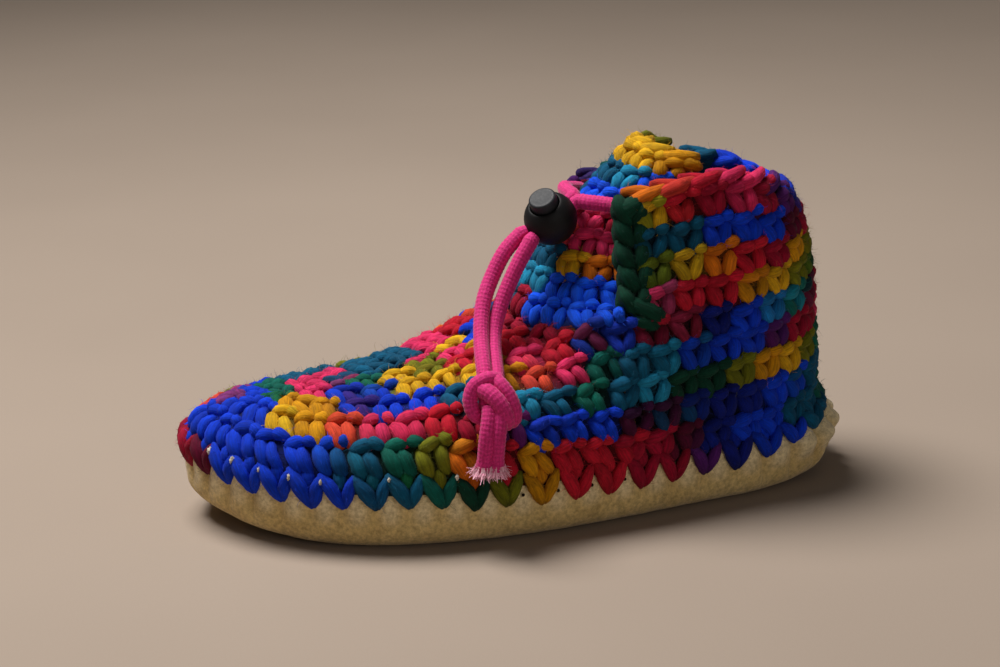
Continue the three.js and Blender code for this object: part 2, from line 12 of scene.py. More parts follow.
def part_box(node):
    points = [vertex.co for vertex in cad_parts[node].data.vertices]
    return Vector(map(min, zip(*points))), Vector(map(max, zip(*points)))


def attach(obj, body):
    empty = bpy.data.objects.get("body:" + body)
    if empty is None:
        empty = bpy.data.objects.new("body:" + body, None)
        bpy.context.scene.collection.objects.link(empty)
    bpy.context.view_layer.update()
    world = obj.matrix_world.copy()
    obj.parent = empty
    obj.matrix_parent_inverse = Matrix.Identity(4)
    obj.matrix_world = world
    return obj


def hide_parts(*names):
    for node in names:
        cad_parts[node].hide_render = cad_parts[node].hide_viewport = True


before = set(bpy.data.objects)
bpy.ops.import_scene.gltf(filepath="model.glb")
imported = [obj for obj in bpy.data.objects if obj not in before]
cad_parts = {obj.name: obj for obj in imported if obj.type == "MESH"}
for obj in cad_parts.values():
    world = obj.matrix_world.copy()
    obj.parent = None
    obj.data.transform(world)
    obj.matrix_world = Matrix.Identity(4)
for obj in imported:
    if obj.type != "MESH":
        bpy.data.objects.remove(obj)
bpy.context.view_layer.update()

MM = 0.001
RANDOM = np.random.default_rng(11)

# Dimensions shared with the solids
STITCHES = 44
ROW = 8.6
WALL = 6.0
GAP = 0.35
LEATHER = 2.4
RIM_HEIGHT = 19.0
TOE_SPRING = 5.0
HEEL_SPRING = 4.0
SOLE_ROUND = 7.0
TOOTH = 9.0
OVERHANG_TOE, OVERHANG_SIDE, OVERHANG_HEEL = 2.4, 3.2, 0.9
FLEECE = 6.0
TONGUE_WALL = 5.0
CORD = 4.6
LOCK_RADIUS = 8.0
THROAT_AT = 0.415
FLAP_AT = 0.6
SLIT_ROW = 5.5
FAN = 0.1
TONGUE_SPREAD = 0.82
SLIT_LEAN = math.radians(86)
HEEL_LEAN = math.radians(62)
# Shares of a side, from toe to heel: end of the toe's spring, start of the heel's, change of the overhang
TOE_END, HEEL_START = 0.3, 0.78
HEEL_OVERHANG_FROM, HEEL_OVERHANG_TO = 0.68, 0.95

# Plan of the leather rim: toe tip, outer side, heel, inner side
SOLE_OUTLINE = [
    (-10, -101), (12.5, -93), (27.5, -79), (39.5, -58), (45, -34), (45.5, -6), (42, 20),
    (36.5, 47), (31, 72), (20.5, 92.5), (0, 100), (-20, 92.5), (-29.5, 72), (-29, 42),
    (-29.5, 12), (-33.5, -16), (-37.5, -44), (-37, -70), (-28, -91),
]
HEEL_POINT = 10
VAMP_RIDGE = [(1, -74, 39.5), (3, -52, 42), (3, -36, 44.6), (2, -20, 49.2), (0, -3, 57.5)]
COLLAR = {
    "outer": [
        (26.5, 21.5, 95), (30, 39, 99), (30.5, 58, 102), (25.5, 73, 99), (14, 84.5, 92), (0, 88.5, 88),
    ],
    "inner": [
        (-25.5, 22, 90), (-29, 38, 93), (-29.5, 56, 95), (-25, 73, 93.5), (-14, 84.5, 90), (0, 88.5, 88),
    ],
}
# Tongue sections: front, height, outer half, inner half, back, drop of the edges
TONGUE = [
    (2.5, 65.5, 26, 20, 20, 0), (7.5, 76, 22, 18, 29, 0), (15.5, 86, 19, 17, 37, 0),
    (25, 95, 18, 17, 44, 1), (33, 103, 19, 17, 52, 2.5), (39, 108.5, 19, 16, 56, 5),
]
# Fullness of the wall: reach up from the rim, back from the top line, and out to the side
KNEES = {
    "toe": np.array([0.5, 0.58, 0.0]),
    "vamp": np.array([0.6, 0.6, 1.5]),
    "slit": np.array([0.48, 0.4, 2.5]),
    "heel": np.array([0.22, 0.36, -9.0]),
}

# Drawcord and cord lock: the lock's axis, and the way the cord leaves it before it is squared to the axis
LOCK_CENTRE = np.array([12.2, 8.3, 88.2])
LOCK_AXIS_WAY = np.array([0.39, -0.4, 0.83])
LOCK_EXIT_WAY = np.array([0.148, -0.858, -0.49])
LOCK_BORE_RADIUS, LOCK_BORE_FLOOR, LOCK_TOP = 4.5, -6.4, 6.2
BUTTON_RADIUS, BUTTON_FOOT, BUTTON_TOP = 4.2, -3.6, 9.2
# The bars end inside the walls of the flaps
BAR_PATHS = {
    "outer": [(12.1, 16.9, 92.5), (14.5, 19.5, 92.6), (17, 23.2, 92.4), (20, 26.6, 92), (24.6, 29.0, 91.2)],
    "inner": [
        (9.5, 16.1, 93.3), (2, 16.5, 93.4), (-6, 18.3, 92.4), (-12.8, 20.8, 90.5), (-16.6, 24.4, 89.3),
        (-19.6, 26.8, 88.2), (-23.8, 28.8, 87.2),
    ],
}
# The tails lie against each other above the knot, where the part's source keeps them a little apart
TAIL_PATHS = {
    "outer": [
        (15.8, 1.1, 82.9), (17.5, -3.3, 76.9), (19.4, -7.8, 69.4), (21.5, -11.0, 63.5), (24.9, -13.4, 58.5),
        (30.1, -15.0, 54.9), (35.9, -16.2, 52.2), (42.0, -17.5, 49.3), (45.6, -19.2, 46.6),
    ],
    "inner": [
        (11.4, -0.5, 84.3), (13.3, -6.2, 79.8), (15.8, -11.4, 72.4), (19.2, -14.7, 67.0), (23.2, -16.7, 62.2),
        (28.7, -18.3, 57.6), (34.9, -19.7, 54.6), (39.4, -20.5, 52.1), (43.0, -21.2, 49.4),
        (46.0, -21.4, 46.8),
    ],
}
KNOT_CENTRE = np.array([47, -20.6, 45.3])
# Loops of the knot: radius, then places to the photograph's right, up and forward of the centre
KNOT_LOOPS = [
    (2.2, [
        (2.2, 5.6, -0.6), (-1.2, 5.8, 1.6), (-4.8, 3.6, 1.6), (-6.0, -0.6, 1.0), (-4.6, -4.4, 0.4),
        (-1.6, -5.8, -0.8),
    ]),
    (2.5, [
        (-3.4, 2.8, 0.2), (-1.4, 2.4, 2.8), (1.8, -0.4, 4.2), (4.0, -4.0, 3.4), (4.4, -6.6, 0.6),
        (2.2, -7.0, -1.6),
    ]),
    (2.3, [
        (0.4, 6.0, -0.6), (2.6, 4.2, 1.8), (5.2, 0.6, 2.4), (6.6, -3.4, 1.6), (6.2, -6.0, -0.4),
        (3.6, -6.6, -1.8),
    ]),
    (2.9, [(-0.6, 7.5, -1.2), (-0.8, 2.0, -0.6), (-0.6, -2.0, 0.0), (0.2, -7.5, -0.6)]),
]
END_PATHS = {
    "outer": [(52.6, -18.7, 40.6), (53.6, -19.6, 36), (53.4, -20.1, 31), (53, -20.5, 26)],
    "inner": [(52, -23.6, 40.5), (53.1, -24.6, 36), (52.9, -25.1, 31), (52.4, -25.4, 26)],
}

# Yarn colours, in linear light
YARN = {
    "maroon": (0.096, 0.0024, 0.022),
    "crimson": (0.304, 0.0032, 0.026),
    "red": (0.496, 0.008, 0.026),
    "pink": (0.672, 0.027, 0.120),
    "coral": (0.624, 0.060, 0.027),
    "orange": (0.624, 0.152, 0.0048),
    "gold": (0.560, 0.248, 0.0032),
    "yellow": (0.656, 0.360, 0.008),
    "olive": (0.152, 0.160, 0.0064),
    "green": (0.0016, 0.040, 0.022),
    "jade": (0.0016, 0.104, 0.076),
    "teal": (0.0016, 0.084, 0.172),
    "cyan": (0.011, 0.232, 0.416),
    "blue": (0.0016, 0.040, 0.592),
    # A paler, brighter blue on the tongue: partly the yarn's own paler blue, partly painted light where the
    # tongue is lit
    "azure": (0.004, 0.085, 0.800),
    "navy": (0.0024, 0.010, 0.184),
    "purple": (0.076, 0.010, 0.136),
}


def unit(v):
    v = np.asarray(v, dtype=float)
    return v / np.maximum(np.linalg.norm(v, axis=-1, keepdims=True), 1e-12)


def smoothstep(x, low, high):
    t = np.clip((x - low) / (high - low), 0, 1)
    return t * t * (3 - 2 * t)


def mix(a, b, t):
    return a + (b - a) * t


def around(count):
    """Angles of a full turn."""
    return np.linspace(0, 2 * math.pi, count, endpoint=False)


def spline(points, shares, closed=False):
    """Points of a centripetal spline through a row of points, at shares of its segments."""
    p = np.asarray(points, dtype=float)
    n = len(p)
    if not closed:
        p = np.vstack([2 * p[0] - p[1], p, 2 * p[-1] - p[-2]])
    made = []
    for share in np.atleast_1d(shares):
        along = share * (n if closed else n - 1)
        i = min(int(math.floor(along)), n - 1 if closed else n - 2)
        t = along - i
        if closed:
            a, b, c, d = p[(i - 1) % n], p[i % n], p[(i + 1) % n], p[(i + 2) % n]
        else:
            a, b, c, d = p[i], p[i + 1], p[i + 2], p[i + 3]
        step = [max(math.sqrt(np.linalg.norm(q - r)), 1e-4) for q, r in ((b, a), (c, b), (d, c))]
        start = ((b - a) / step[0] - (c - a) / (step[0] + step[1]) + (c - b) / step[1]) * step[1]
        end = ((c - b) / step[1] - (d - b) / (step[1] + step[2]) + (d - c) / step[2]) * step[1]
        made.append(
            b + start * t + (3 * (c - b) - 2 * start - end) * t ** 2 + (2 * (b - c) + start + end) * t ** 3
        )
    return np.array(made)


class Path:
    """A polyline measured by length."""

    def __init__(self, points):
        self.points = np.asarray(points, dtype=float)
        steps = np.linalg.norm(np.diff(self.points, axis=0), axis=1)
        self.lengths = np.concatenate([[0], np.cumsum(steps)])
        self.length = self.lengths[-1]

    def at(self, distance):
        d = np.clip(distance, 0, self.length)
        return np.stack([np.interp(d, self.lengths, self.points[:, k]) for k in range(3)], axis=-1)

    def share(self, s):
        return self.at(np.asarray(s) * self.length)


def smooth_path(points, steps=60):
    return Path(spline(points, np.linspace(0, 1, steps + 1)))


def outline_side(start, end):
    flat = spline([(x, y, 0) for x, y in SOLE_OUTLINE], np.linspace(start, end, 241), closed=True)
    return Path(flat)


HEEL_SHARE = HEEL_POINT / len(SOLE_OUTLINE)
SIDES = {"outer": outline_side(0, HEEL_SHARE), "inner": outline_side(1, HEEL_SHARE)}
RIDGE = smooth_path(VAMP_RIDGE)
COLLARS = {side: smooth_path(points) for side, points in COLLAR.items()}

# The part's origin, in the frame of the tables
rim_points = np.vstack([SIDES["outer"].points, SIDES["inner"].points])
rim_middle = (rim_points.min(axis=0) + rim_points.max(axis=0)) / 2
sole_low, sole_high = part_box("outsole")
ORIGIN = np.array([
    rim_middle[0] - (sole_low[0] + sole_high[0]) / 2 / MM,
    rim_middle[1] - (sole_low[1] + sole_high[1]) / 2 / MM,
    0.0,
])


def place(points):
    """Table millimetres to the part's metres."""
    return (np.asarray(points, dtype=float) - ORIGIN) * MM


# Camera, at the photograph's viewing angle
CAMERA_PLACE = (0.81870, -0.22257, 0.30384)
CAMERA_LOOK = (-0.9262, 0.2464, -0.2854)
CAMERA_ROLL = math.radians(1.42)
camera_data = bpy.data.cameras.new("camera")
camera_data.lens = 105.0
camera_data.sensor_width = 36.0
camera_data.sensor_fit = "HORIZONTAL"
camera_data.clip_end = 50.0
camera = bpy.data.objects.new("camera", camera_data)
bpy.context.scene.collection.objects.link(camera)
look = Vector(CAMERA_LOOK).normalized()
level = look.cross(Vector((0, 0, 1))).normalized()
above = level.cross(look)
cam_x = level * math.cos(CAMERA_ROLL) - above * math.sin(CAMERA_ROLL)
cam_y = above * math.cos(CAMERA_ROLL) + level * math.sin(CAMERA_ROLL)
turn = Matrix((cam_x, cam_y, -look)).transposed().to_4x4()
camera.matrix_world = Matrix.Translation(CAMERA_PLACE) @ turn
bpy.context.scene.camera = camera
bpy.context.scene.view_settings.view_transform = "Standard"


# Materials
# Factor, A and B among the inputs of a node that mixes colours, and its result among the outputs
MIX_INPUTS, MIX_RESULT = (0, 6, 7), 2


class Shader:
    """A principled material under construction."""

    def __init__(self, name, **fixed):
        self.material = bpy.data.materials.new(name)
        self.material.use_nodes = True
        self.nodes = self.material.node_tree.nodes
        self.links = self.material.node_tree.links
        self.surface = self.nodes["Principled BSDF"]
        for key, value in fixed.items():
            self.surface.inputs[key.replace("_", " ")].default_value = value

    def node(self, kind, **values):
        made = self.nodes.new(kind)
        for key, value in values.items():
            name = key.replace("_", " ")
            if name in made.inputs:
                made.inputs[name].default_value = value
            else:
                setattr(made, key, value)
        return made

    def link(self, out, into):
        self.links.new(out, into)

    def coords(self):
        return self.node("ShaderNodeTexCoord").outputs["Object"]

    def attribute(self, name, kind="Color"):
        return self.node("ShaderNodeAttribute", attribute_name=name).outputs[kind]

    def noise(self, vector, scale, detail=4.0, roughness=0.55):
        made = self.node("ShaderNodeTexNoise", Scale=scale, Detail=detail, Roughness=roughness)
        self.link(vector, made.inputs["Vector"])
        return made.outputs["Fac"]

    def ramp(self, value, low, high, to_low, to_high):
        made = self.node("ShaderNodeMapRange", From_Min=low, From_Max=high, To_Min=to_low, To_Max=to_high)
        self.link(value, made.inputs["Value"])
        return made.outputs["Result"]

    def colours(self, value, stops):
        made = self.node("ShaderNodeValToRGB")
        elements = made.color_ramp.elements
        while len(elements) < len(stops):
            elements.new(0.5)
        for element, (position, colour) in zip(elements, stops):
            element.position = position
            element.color = (*colour, 1)
        self.link(value, made.inputs["Fac"])
        return made.outputs["Color"]

    def blend(self, kind, factor, first, second):
        """Mix of two colours, each one a source or a fixed value."""
        made = self.node("ShaderNodeMix", data_type="RGBA", blend_type=kind)
        for index, value in zip(MIX_INPUTS, (factor, first, second)):
            if isinstance(value, bpy.types.NodeSocket):
                self.link(value, made.inputs[index])
            else:
                made.inputs[index].default_value = value
        return made.outputs[MIX_RESULT]

    def bump(self, height, strength, distance, below=None):
        made = self.node("ShaderNodeBump", Strength=strength, Distance=distance)
        self.link(height, made.inputs["Height"])
        if below is not None:
            self.link(below, made.inputs["Normal"])
        return made.outputs["Normal"]

    def finish(self, **sources):
        """Joins the surface's sockets to their sources and gives the material."""
        for key, source in sources.items():
            self.link(source, self.surface.inputs[key.replace("_", " ")])
        return self.material


def wool_material(name, sheen):
    """Loosely spun wool: colour from the mesh, painted shade included, fine fibres along each strand, a soft
    halo.
    """
    s = Shader(name, Sheen_Weight=sheen, Sheen_Roughness=0.45, Specular_IOR_Level=0.15)
    s.surface.inputs["Sheen Tint"].default_value = (0.9, 0.9, 1.0, 1)
    spot = s.coords()
    streak = s.noise(s.attribute("fibre", "Vector"), 1.0, 5.0, 0.65)
    grey = s.node("ShaderNodeMath", operation="MULTIPLY")
    s.link(s.ramp(streak, 0.3, 0.7, 0.55, 1.3), grey.inputs[0])
    s.link(s.ramp(s.noise(spot, 260.0, 3.0), 0.3, 0.7, 0.8, 1.15), grey.inputs[1])
    tint = s.node("ShaderNodeCombineColor")
    for channel in ("Red", "Green", "Blue"):
        s.link(grey.outputs[0], tint.inputs[channel])
    return s.finish(
        Base_Color=s.blend("MULTIPLY", 1.0, s.attribute("yarn"), tint.outputs["Color"]),
        Roughness=s.ramp(streak, 0.2, 0.8, 0.72, 0.95),
        Normal=s.bump(s.noise(spot, 2600.0, 3.0, 0.7), 0.25, 0.0003, s.bump(streak, 0.7, 0.0006)),
    )


def suede_material():
    """Napped suede: soft mottling and a fine grain, with a painted highlight of pale cream where the rim
    attribute is high.
    """
    s = Shader("suede", Roughness=0.95, Sheen_Weight=0.25, Sheen_Roughness=0.55, Specular_IOR_Level=0.15)
    spot = s.coords()
    nap = s.noise(spot, 700.0, 4.0, 0.7)
    tone = s.colours(s.noise(spot, 55.0, 5.0, 0.6), [
        (0.25, (0.560, 0.375, 0.120)), (0.5, (0.720, 0.510, 0.185)), (0.75, (0.830, 0.625, 0.260)),
    ])
    # Painted highlight: the rim attribute mixes in pale cream
    rim_highlight = s.blend("MIX", s.attribute("rim", "Fac"), tone, (0.880, 0.730, 0.430, 1))
    grain = s.colours(nap, [(0.35, (0.55, 0.52, 0.48)), (0.62, (1.0, 1.0, 1.0))])
    return s.finish(
        Base_Color=s.blend("MULTIPLY", 0.85, rim_highlight, grain),
        Normal=s.bump(s.noise(spot, 2400.0, 3.0, 0.75), 0.5, 0.0003, s.bump(nap, 0.55, 0.0007)),
    )


def cord_material(name, low, high):
    """Braided cord, with painted shade in the dips of its weave."""
    s = Shader(name, Sheen_Weight=0.25, Sheen_Roughness=0.4, Specular_IOR_Level=0.3)
    thread = s.noise(s.coords(), 1500.0, 3.0, 0.7)
    colour = s.colours(thread, [(0.3, low), (0.7, high)])
    # Painted shade: the colour darkens where the weave dips
    relief = s.colours(s.attribute("weave", "Fac"), [(0.1, (0.72, 0.66, 0.70)), (0.8, (1.0, 1.0, 1.0))])
    return s.finish(
        Base_Color=s.blend("MULTIPLY", 1.0, colour, relief),
        Roughness=s.ramp(thread, 0.2, 0.8, 0.6, 0.9),
        Normal=s.bump(thread, 0.5, 0.0004),
    )


def plain_material(name, tones, mottle, grain=None, relief=None, rough=None, **fixed):
    """Mottled colour and, where given, a grain with its relief (strength, height) and range of roughness."""
    s = Shader(name, **fixed)
    spot = s.coords()
    sources = {"Base_Color": s.colours(s.noise(spot, *mottle), tones)}
    if grain:
        texture = s.noise(spot, *grain)
        sources["Normal"] = s.bump(texture, *relief)
        if rough:
            sources["Roughness"] = s.ramp(texture, 0.3, 0.7, *rough)
    return s.finish(**sources)


def plastic_material(name, low, high, rough):
    """Matt moulded plastic with a fine grain."""
    return plain_material(
        name, [(0.3, low), (0.7, high)], (160.0, 3.0), (2500.0, 2.0), (0.2, 0.0001),
        (rough - 0.06, rough + 0.08), Specular_IOR_Level=0.2,
    )


WOOL = wool_material("wool", 0.02)
FUZZ = wool_material("wool_fuzz", 0.05)
SUEDE = suede_material()
FLEECE_LOOK = plain_material(
    "fleece", [(0.25, (0.46, 0.38, 0.26)), (0.55, (0.78, 0.71, 0.58)), (0.8, (0.90, 0.85, 0.75))],
    (420.0, 5.0, 0.7), (420.0, 5.0, 0.7), (0.9, 0.0018),
    Roughness=1.0, Sheen_Weight=0.6, Sheen_Roughness=0.4, Specular_IOR_Level=0.1,
)
PINK = cord_material("drawcord", (0.50, 0.003, 0.120), (0.82, 0.034, 0.270))
FRAYED = cord_material("frayed", (0.80, 0.26, 0.42), (0.95, 0.66, 0.74))
BALL = plastic_material("ball", (0.005, 0.005, 0.006), (0.009, 0.009, 0.010), 0.55)
DISC = plastic_material("disc", (0.016, 0.018, 0.023), (0.026, 0.028, 0.034), 0.5)
# Near-black painted shade for the inside of the punched holes
PAINTED_HOLE_SHADE = plain_material(
    "hole", [(0.3, (0.012, 0.008, 0.006)), (0.7, (0.03, 0.022, 0.016))], (900.0,),
    Roughness=1.0, Specular_IOR_Level=0.05,
)
FLOOR_LOOK = plain_material(
    "floor", [(0.3, (0.300, 0.242, 0.197)), (0.7, (0.330, 0.267, 0.218))], (3.0, 3.0),
    (900.0, 3.0, 0.6), (0.12, 0.0004), Roughness=0.9, Specular_IOR_Level=0.2,
)


# Meshes
def piece(name, points, faces, material, slot, body="slipper", **attributes):
    """A mesh from table millimetres that rides on a body. Attributes are per point."""
    mesh = bpy.data.meshes.new(name)
    mesh.from_pydata(place(points).tolist(), [], faces.tolist())
    for key, values in attributes.items():
        values = np.asarray(values, dtype=np.float32)
        if values.ndim == 1:
            mesh.attributes.new(key, "FLOAT", "POINT").data.foreach_set("value", values)
        elif key == "fibre":
            mesh.attributes.new(key, "FLOAT_VECTOR", "POINT").data.foreach_set("vector", values.ravel())
        else:
            full = np.hstack([values, np.ones((len(values), 1), dtype=np.float32)])
            mesh.attributes.new(key, "FLOAT_COLOR", "POINT").data.foreach_set("color", full.ravel())
    mesh.polygons.foreach_set("use_smooth", [True] * len(mesh.polygons))
    mesh.materials.append(material)
    mesh.update()
    made = bpy.data.objects.new(name, mesh)
    bpy.context.scene.collection.objects.link(made)
    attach(made, body)
    return made


def wool_piece(name, points, faces, material, yarn, fibre):
    """A piece of wool from grids of points, colours and places in the fibres' noise."""
    return piece(
        name, points.reshape(-1, 3), faces, material, "wool",
        yarn=yarn.reshape(-1, 3), fibre=fibre.reshape(-1, 3),
    )


def grid_faces(rows, columns, wrap=False):
    """Quads of a grid stored row by row."""
    across = columns if wrap else columns - 1
    r, c = np.meshgrid(np.arange(rows - 1), np.arange(across), indexing="ij")
    d = (c + 1) % columns
    low, high = r * columns, (r + 1) * columns
    return np.stack([low + c, low + d, high + d, high + c], axis=-1).reshape(-1, 4)


def tube_faces(rings, sides):
    """Quads of one closed tube: its wall and both ends."""
    cap = np.array([[0, i, i + 1, i + 2] for i in range(1, sides - 2, 2)])
    return np.vstack([grid_faces(rings, sides, wrap=True), cap[:, ::-1], cap + (rings - 1) * sides])


def repeated(faces, copies, points_each):
    """Faces of equal meshes whose points follow each other."""
    first = (np.arange(copies) * points_each)[:, None, None]
    return (faces[None] + first).reshape(-1, faces.shape[1])


def ribbons(spots, wide, sizes):
    """Flat ribbons along rows of places, with half their width and its share at each place."""
    rails = [spot + way * wide * size for spot, size in zip(spots, sizes) for way in (-1, 1)]
    quads = 2 * np.arange(len(spots) - 1)[:, None] + np.array([0, 1, 3, 2])
    return np.stack(rails, axis=1).reshape(-1, 3), repeated(quads, len(wide), len(rails))


class Sheet:
    """A curved cloth face on a grid: u runs along the rows, d is the length up the wall."""

    def __init__(self, u, d, grid, ends, period=None):
        self.u, self.d, self.grid, self.ends, self.period = u, d, grid, ends, period

    def cell(self, values, low, step, count):
        along = np.clip((values - low) / step, 0, count - 1.000001)
        i = along.astype(int)
        return i, along - i

    def point(self, u, d):
        if self.period:
            u = np.mod(u, self.period)
        i, s = self.cell(u, self.u[0], self.u[1] - self.u[0], len(self.u))
        j, t = self.cell(d, self.d[0], self.d[1] - self.d[0], len(self.d))
        s, t = s[..., None], t[..., None]
        low = mix(self.grid[i, j], self.grid[i + 1, j], s)
        high = mix(self.grid[i, j + 1], self.grid[i + 1, j + 1], s)
        return mix(low, high, t)

    def end(self, u):
        if self.period:
            u = np.mod(u, self.period)
        return np.interp(u, self.u, self.ends)

    def tangent(self, u, d, low, high, step=0.012):
        left, right = np.maximum(u - step, low), np.minimum(u + step, high)
        return (self.point(right, d) - self.point(left, d)) / np.maximum(right - left, 1e-9)[..., None]

    def normal(self, u, d, low, high):
        up = self.point(u, d + 0.8) - self.point(u, d - 0.8)
        return unit(np.cross(self.tangent(u, d, low, high), up))


# The crocheted wall
def footing(side, q):
    """Place on the rim's plan, way out of it, the rim's height, the sole's lift and the yarn's overhang."""
    path = SIDES[side]
    along = unit(path.share(min(q + 0.004, 1)) - path.share(max(q - 0.004, 0)))
    out = np.array([along[1], -along[0], 0.0]) * (1 if side == "outer" else -1)
    if q == 0:
        out = np.array([0.0, -1.0, 0.0])
    if q == 1:
        out = np.array([0.0, 1.0, 0.0])
    toe = (1 - smoothstep(q, 0, TOE_END)) ** 1.5
    heel = smoothstep(q, HEEL_START, 1) ** 1.5
    lift = toe * TOE_SPRING + heel * HEEL_SPRING
    front = mix(OVERHANG_TOE, OVERHANG_SIDE, smoothstep(q, 0, TOE_END))
    overhang = mix(front, OVERHANG_HEEL, smoothstep(q, HEEL_OVERHANG_FROM, HEEL_OVERHANG_TO))
    return path.share(q), out, RIM_HEIGHT + lift, lift, overhang


def ridge_share(q):
    """Share of the vamp's ridge that the wall at a share of its side runs up to."""
    def middle(s):
        return (SIDES["outer"].share(s)[1] + SIDES["inner"].share(s)[1]) / 2
    y = middle(q)
    front = VAMP_RIDGE[0][1]
    fan = FAN * smoothstep(y, SIDES["outer"].share(0)[1], front)
    straight = max(0.0, (y - front) / (middle(THROAT_AT) - front))
    return min(mix(fan, 1.0, straight), 1.0)


def wall_paths(foot, top, angle, knee):
    """Outer and inner curve of the wall from the rim to its top."""
    point, out, rim, _, overhang = foot
    up = np.array([0.0, 0.0, 1.0])
    across = unit(np.array([point[0] - top[0], point[1] - top[1], 0.0]))
    outward = unit(mix(across, out, math.sin(angle) ** 2))
    lean = -outward * math.cos(angle) + up * math.sin(angle)
    top_normal = up * math.cos(angle) + outward * math.sin(angle)
    t = np.linspace(0, 1, 49)[:, None]

    def curve(offset, end, start):
        base = point + out * offset
        base[2] = start
        rise = end[2] - start
        reach = math.hypot(base[0] - end[0], base[1] - end[1])
        lower = base + up * rise * knee[0] + out * knee[2]
        upper = end - lean * (math.cos(angle) * reach + math.sin(angle) * rise) * knee[1]
        bend = base * (1 - t) ** 3 + 3 * lower * t * (1 - t) ** 2 + 3 * upper * t * t * (1 - t) + end * t ** 3
        return Path(bend)

    return curve(overhang, top, rim), curve(overhang - WALL, top - top_normal * WALL, rim + GAP)


def flap_paths(side, q):
    """Both curves of the wall behind the slits, up to the collar."""
    top = COLLARS[side].share((q - FLAP_AT) / (1 - FLAP_AT))
    share = smoothstep(q, FLAP_AT, 0.97)
    knee = mix(KNEES["slit"], KNEES["heel"], share)
    return wall_paths(footing(side, q), top, mix(SLIT_LEAN, HEEL_LEAN, share), knee)


SLIT_FOOT = {side: flap_paths(side, FLAP_AT)[0].at(SLIT_ROW * ROW) for side in ("outer", "inner")}


def throat_point(side, s):
    """A place on the throat's edge, from the ridge to the foot of a slit."""
    start, end = RIDGE.share(1), SLIT_FOOT[side]
    turned = s * math.pi / 2
    return np.array([
        mix(start[0], end[0], math.sin(turned)),
        mix(start[1], end[1], 1 - math.cos(turned)),
        mix(start[2], end[2], s * s),
    ])


def column_paths(side, q):
    """Both curves of the wall at a share of a side."""
    if q >= FLAP_AT:
        return flap_paths(side, q)
    foot = footing(side, q)
    if q <= THROAT_AT:
        knee = mix(KNEES["toe"], KNEES["vamp"], smoothstep(q, 0, 0.25))
        return wall_paths(foot, RIDGE.share(ridge_share(q)), 0.0, knee)
    s = (q - THROAT_AT) / (FLAP_AT - THROAT_AT)
    knee = mix(KNEES["vamp"], KNEES["slit"], s)
    return wall_paths(foot, throat_point(side, s), SLIT_LEAN * smoothstep(s, 0, 1), knee)


# Grid of the wall: columns on each side, places along the rows, and heights
HALF = 180
U_GRID = np.arange(2 * HALF + 1) / HALF
D_GRID = np.arange(-12, 100, 0.5)
FLAP_LOW, FLAP_HIGH = FLAP_AT, 2 - FLAP_AT
FLAP_CLIP = (FLAP_LOW, FLAP_HIGH)
# A clip that rows which go all the way round never reach
ALL_ROUND = (-10.0, 10.0)
# How far from a flap's front edge its rows stop, as a share of a side
EDGE_IN = 0.034
# How far the yarn goes in behind the leather at the heel, and how much higher the collar is at the back
HEEL_TUCK, COLLAR_RISE = 2.4, 3.2
# How far the edge stitches stand off the leather at their tips, and at least
TIP_STAND, LEAST_STAND = 0.9, 0.6


def side_of(u):
    """Side, and share of it from toe to heel, of a place along the rows."""
    u = u % 2
    return ("outer", min(u, 1.0)) if u <= 1 else ("inner", max(2 - u, 0.0))


def collar_rise(u):
    """Extra height of the collar round the back and the inner side."""
    return COLLAR_RISE * float(smoothstep(u, 0.86, 0.98) * (1 - smoothstep(u, 1.14, 1.3)))


def run_on(path, beyond):
    """Steps that carry a curve on past its top."""
    return unit(path.points[-1] - path.points[-3]) * np.maximum(beyond, 0)[:, None]


def make_wall():
    """The upper's face and its lining. Below the rim the face is the skirt that the edge stitches lie on."""
    faces, linings, ends = [], [], []
    high = D_GRID[D_GRID >= 0]
    low = D_GRID[D_GRID < 0][:, None]
    for u in U_GRID:
        side, q = side_of(round(float(u), 9))
        foot, out, rim, _, overhang = footing(side, q)
        outer, inner = column_paths(side, q)
        stand = overhang + (TIP_STAND - overhang) * np.clip(-low / TOOTH, 0, 1.4)
        skirt = foot + out * np.maximum(stand, LEAST_STAND)
        skirt[:, 2] = rim + low[:, 0]
        wall = outer.at(high)
        lining = inner.share(np.clip(D_GRID / outer.length, 0, 1))
        if q >= FLAP_AT:
            wall = wall + run_on(outer, high - outer.length)
            lining = lining + run_on(inner, D_GRID - outer.length)
        tuck = HEEL_TUCK * smoothstep(q, 0.8, 0.95) * (1 - smoothstep(D_GRID, 1.0, 17.0))
        faces.append(np.vstack([skirt, wall]) - out * tuck[:, None])
        linings.append(lining)
        ends.append(outer.length + collar_rise(float(u)))
    return [Sheet(U_GRID, D_GRID, np.array(grid), np.array(ends), 2.0) for grid in (faces, linings)]


UPPER, LINING = make_wall()
TONGUE_TURN = math.radians(84)


def make_tongue():
    """The tongue's face from the throat to its top edge: u from -1, inner, to 1, outer."""
    across = np.linspace(-1, 1, 61)
    b = np.linspace(0, 1, 31)
    table = spline(np.array([(row[0], row[1], 0) for row in TONGUE]), b)
    outer_half, inner_half, back, drop = (
        spline(np.array([(row[k], 0, 0) for row in TONGUE]), b)[:, 0] for k in (2, 3, 4, 5)
    )
    columns = []
    for a in across:
        turned = a * TONGUE_TURN
        body = np.stack([
            (outer_half if a >= 0 else inner_half) * math.sin(turned),
            table[:, 0] + (back - table[:, 0]) * (1 - math.cos(turned)),
            table[:, 1] - drop * a * a,
        ], axis=-1)
        side = "outer" if a >= 0 else "inner"
        root = column_paths(side, mix(THROAT_AT, FLAP_AT, abs(a) * TONGUE_SPREAD))[0].share(1)
        columns.append(Path(np.vstack([root, body])))
    middle = columns[len(across) // 2].length
    d = np.arange(0, middle + 4.01, 0.5)
    past = np.maximum(d - middle, 0)[:, None]
    grid = np.array([
        path.share(np.minimum(d / middle, 1)) + unit(path.points[-1] - path.points[-4]) * past
        for path in columns
    ])
    return Sheet(across, d, grid, np.full(len(across), middle))


TONGUE_FACE = make_tongue()
TONGUE_CLIP = (-1.0, 1.0)


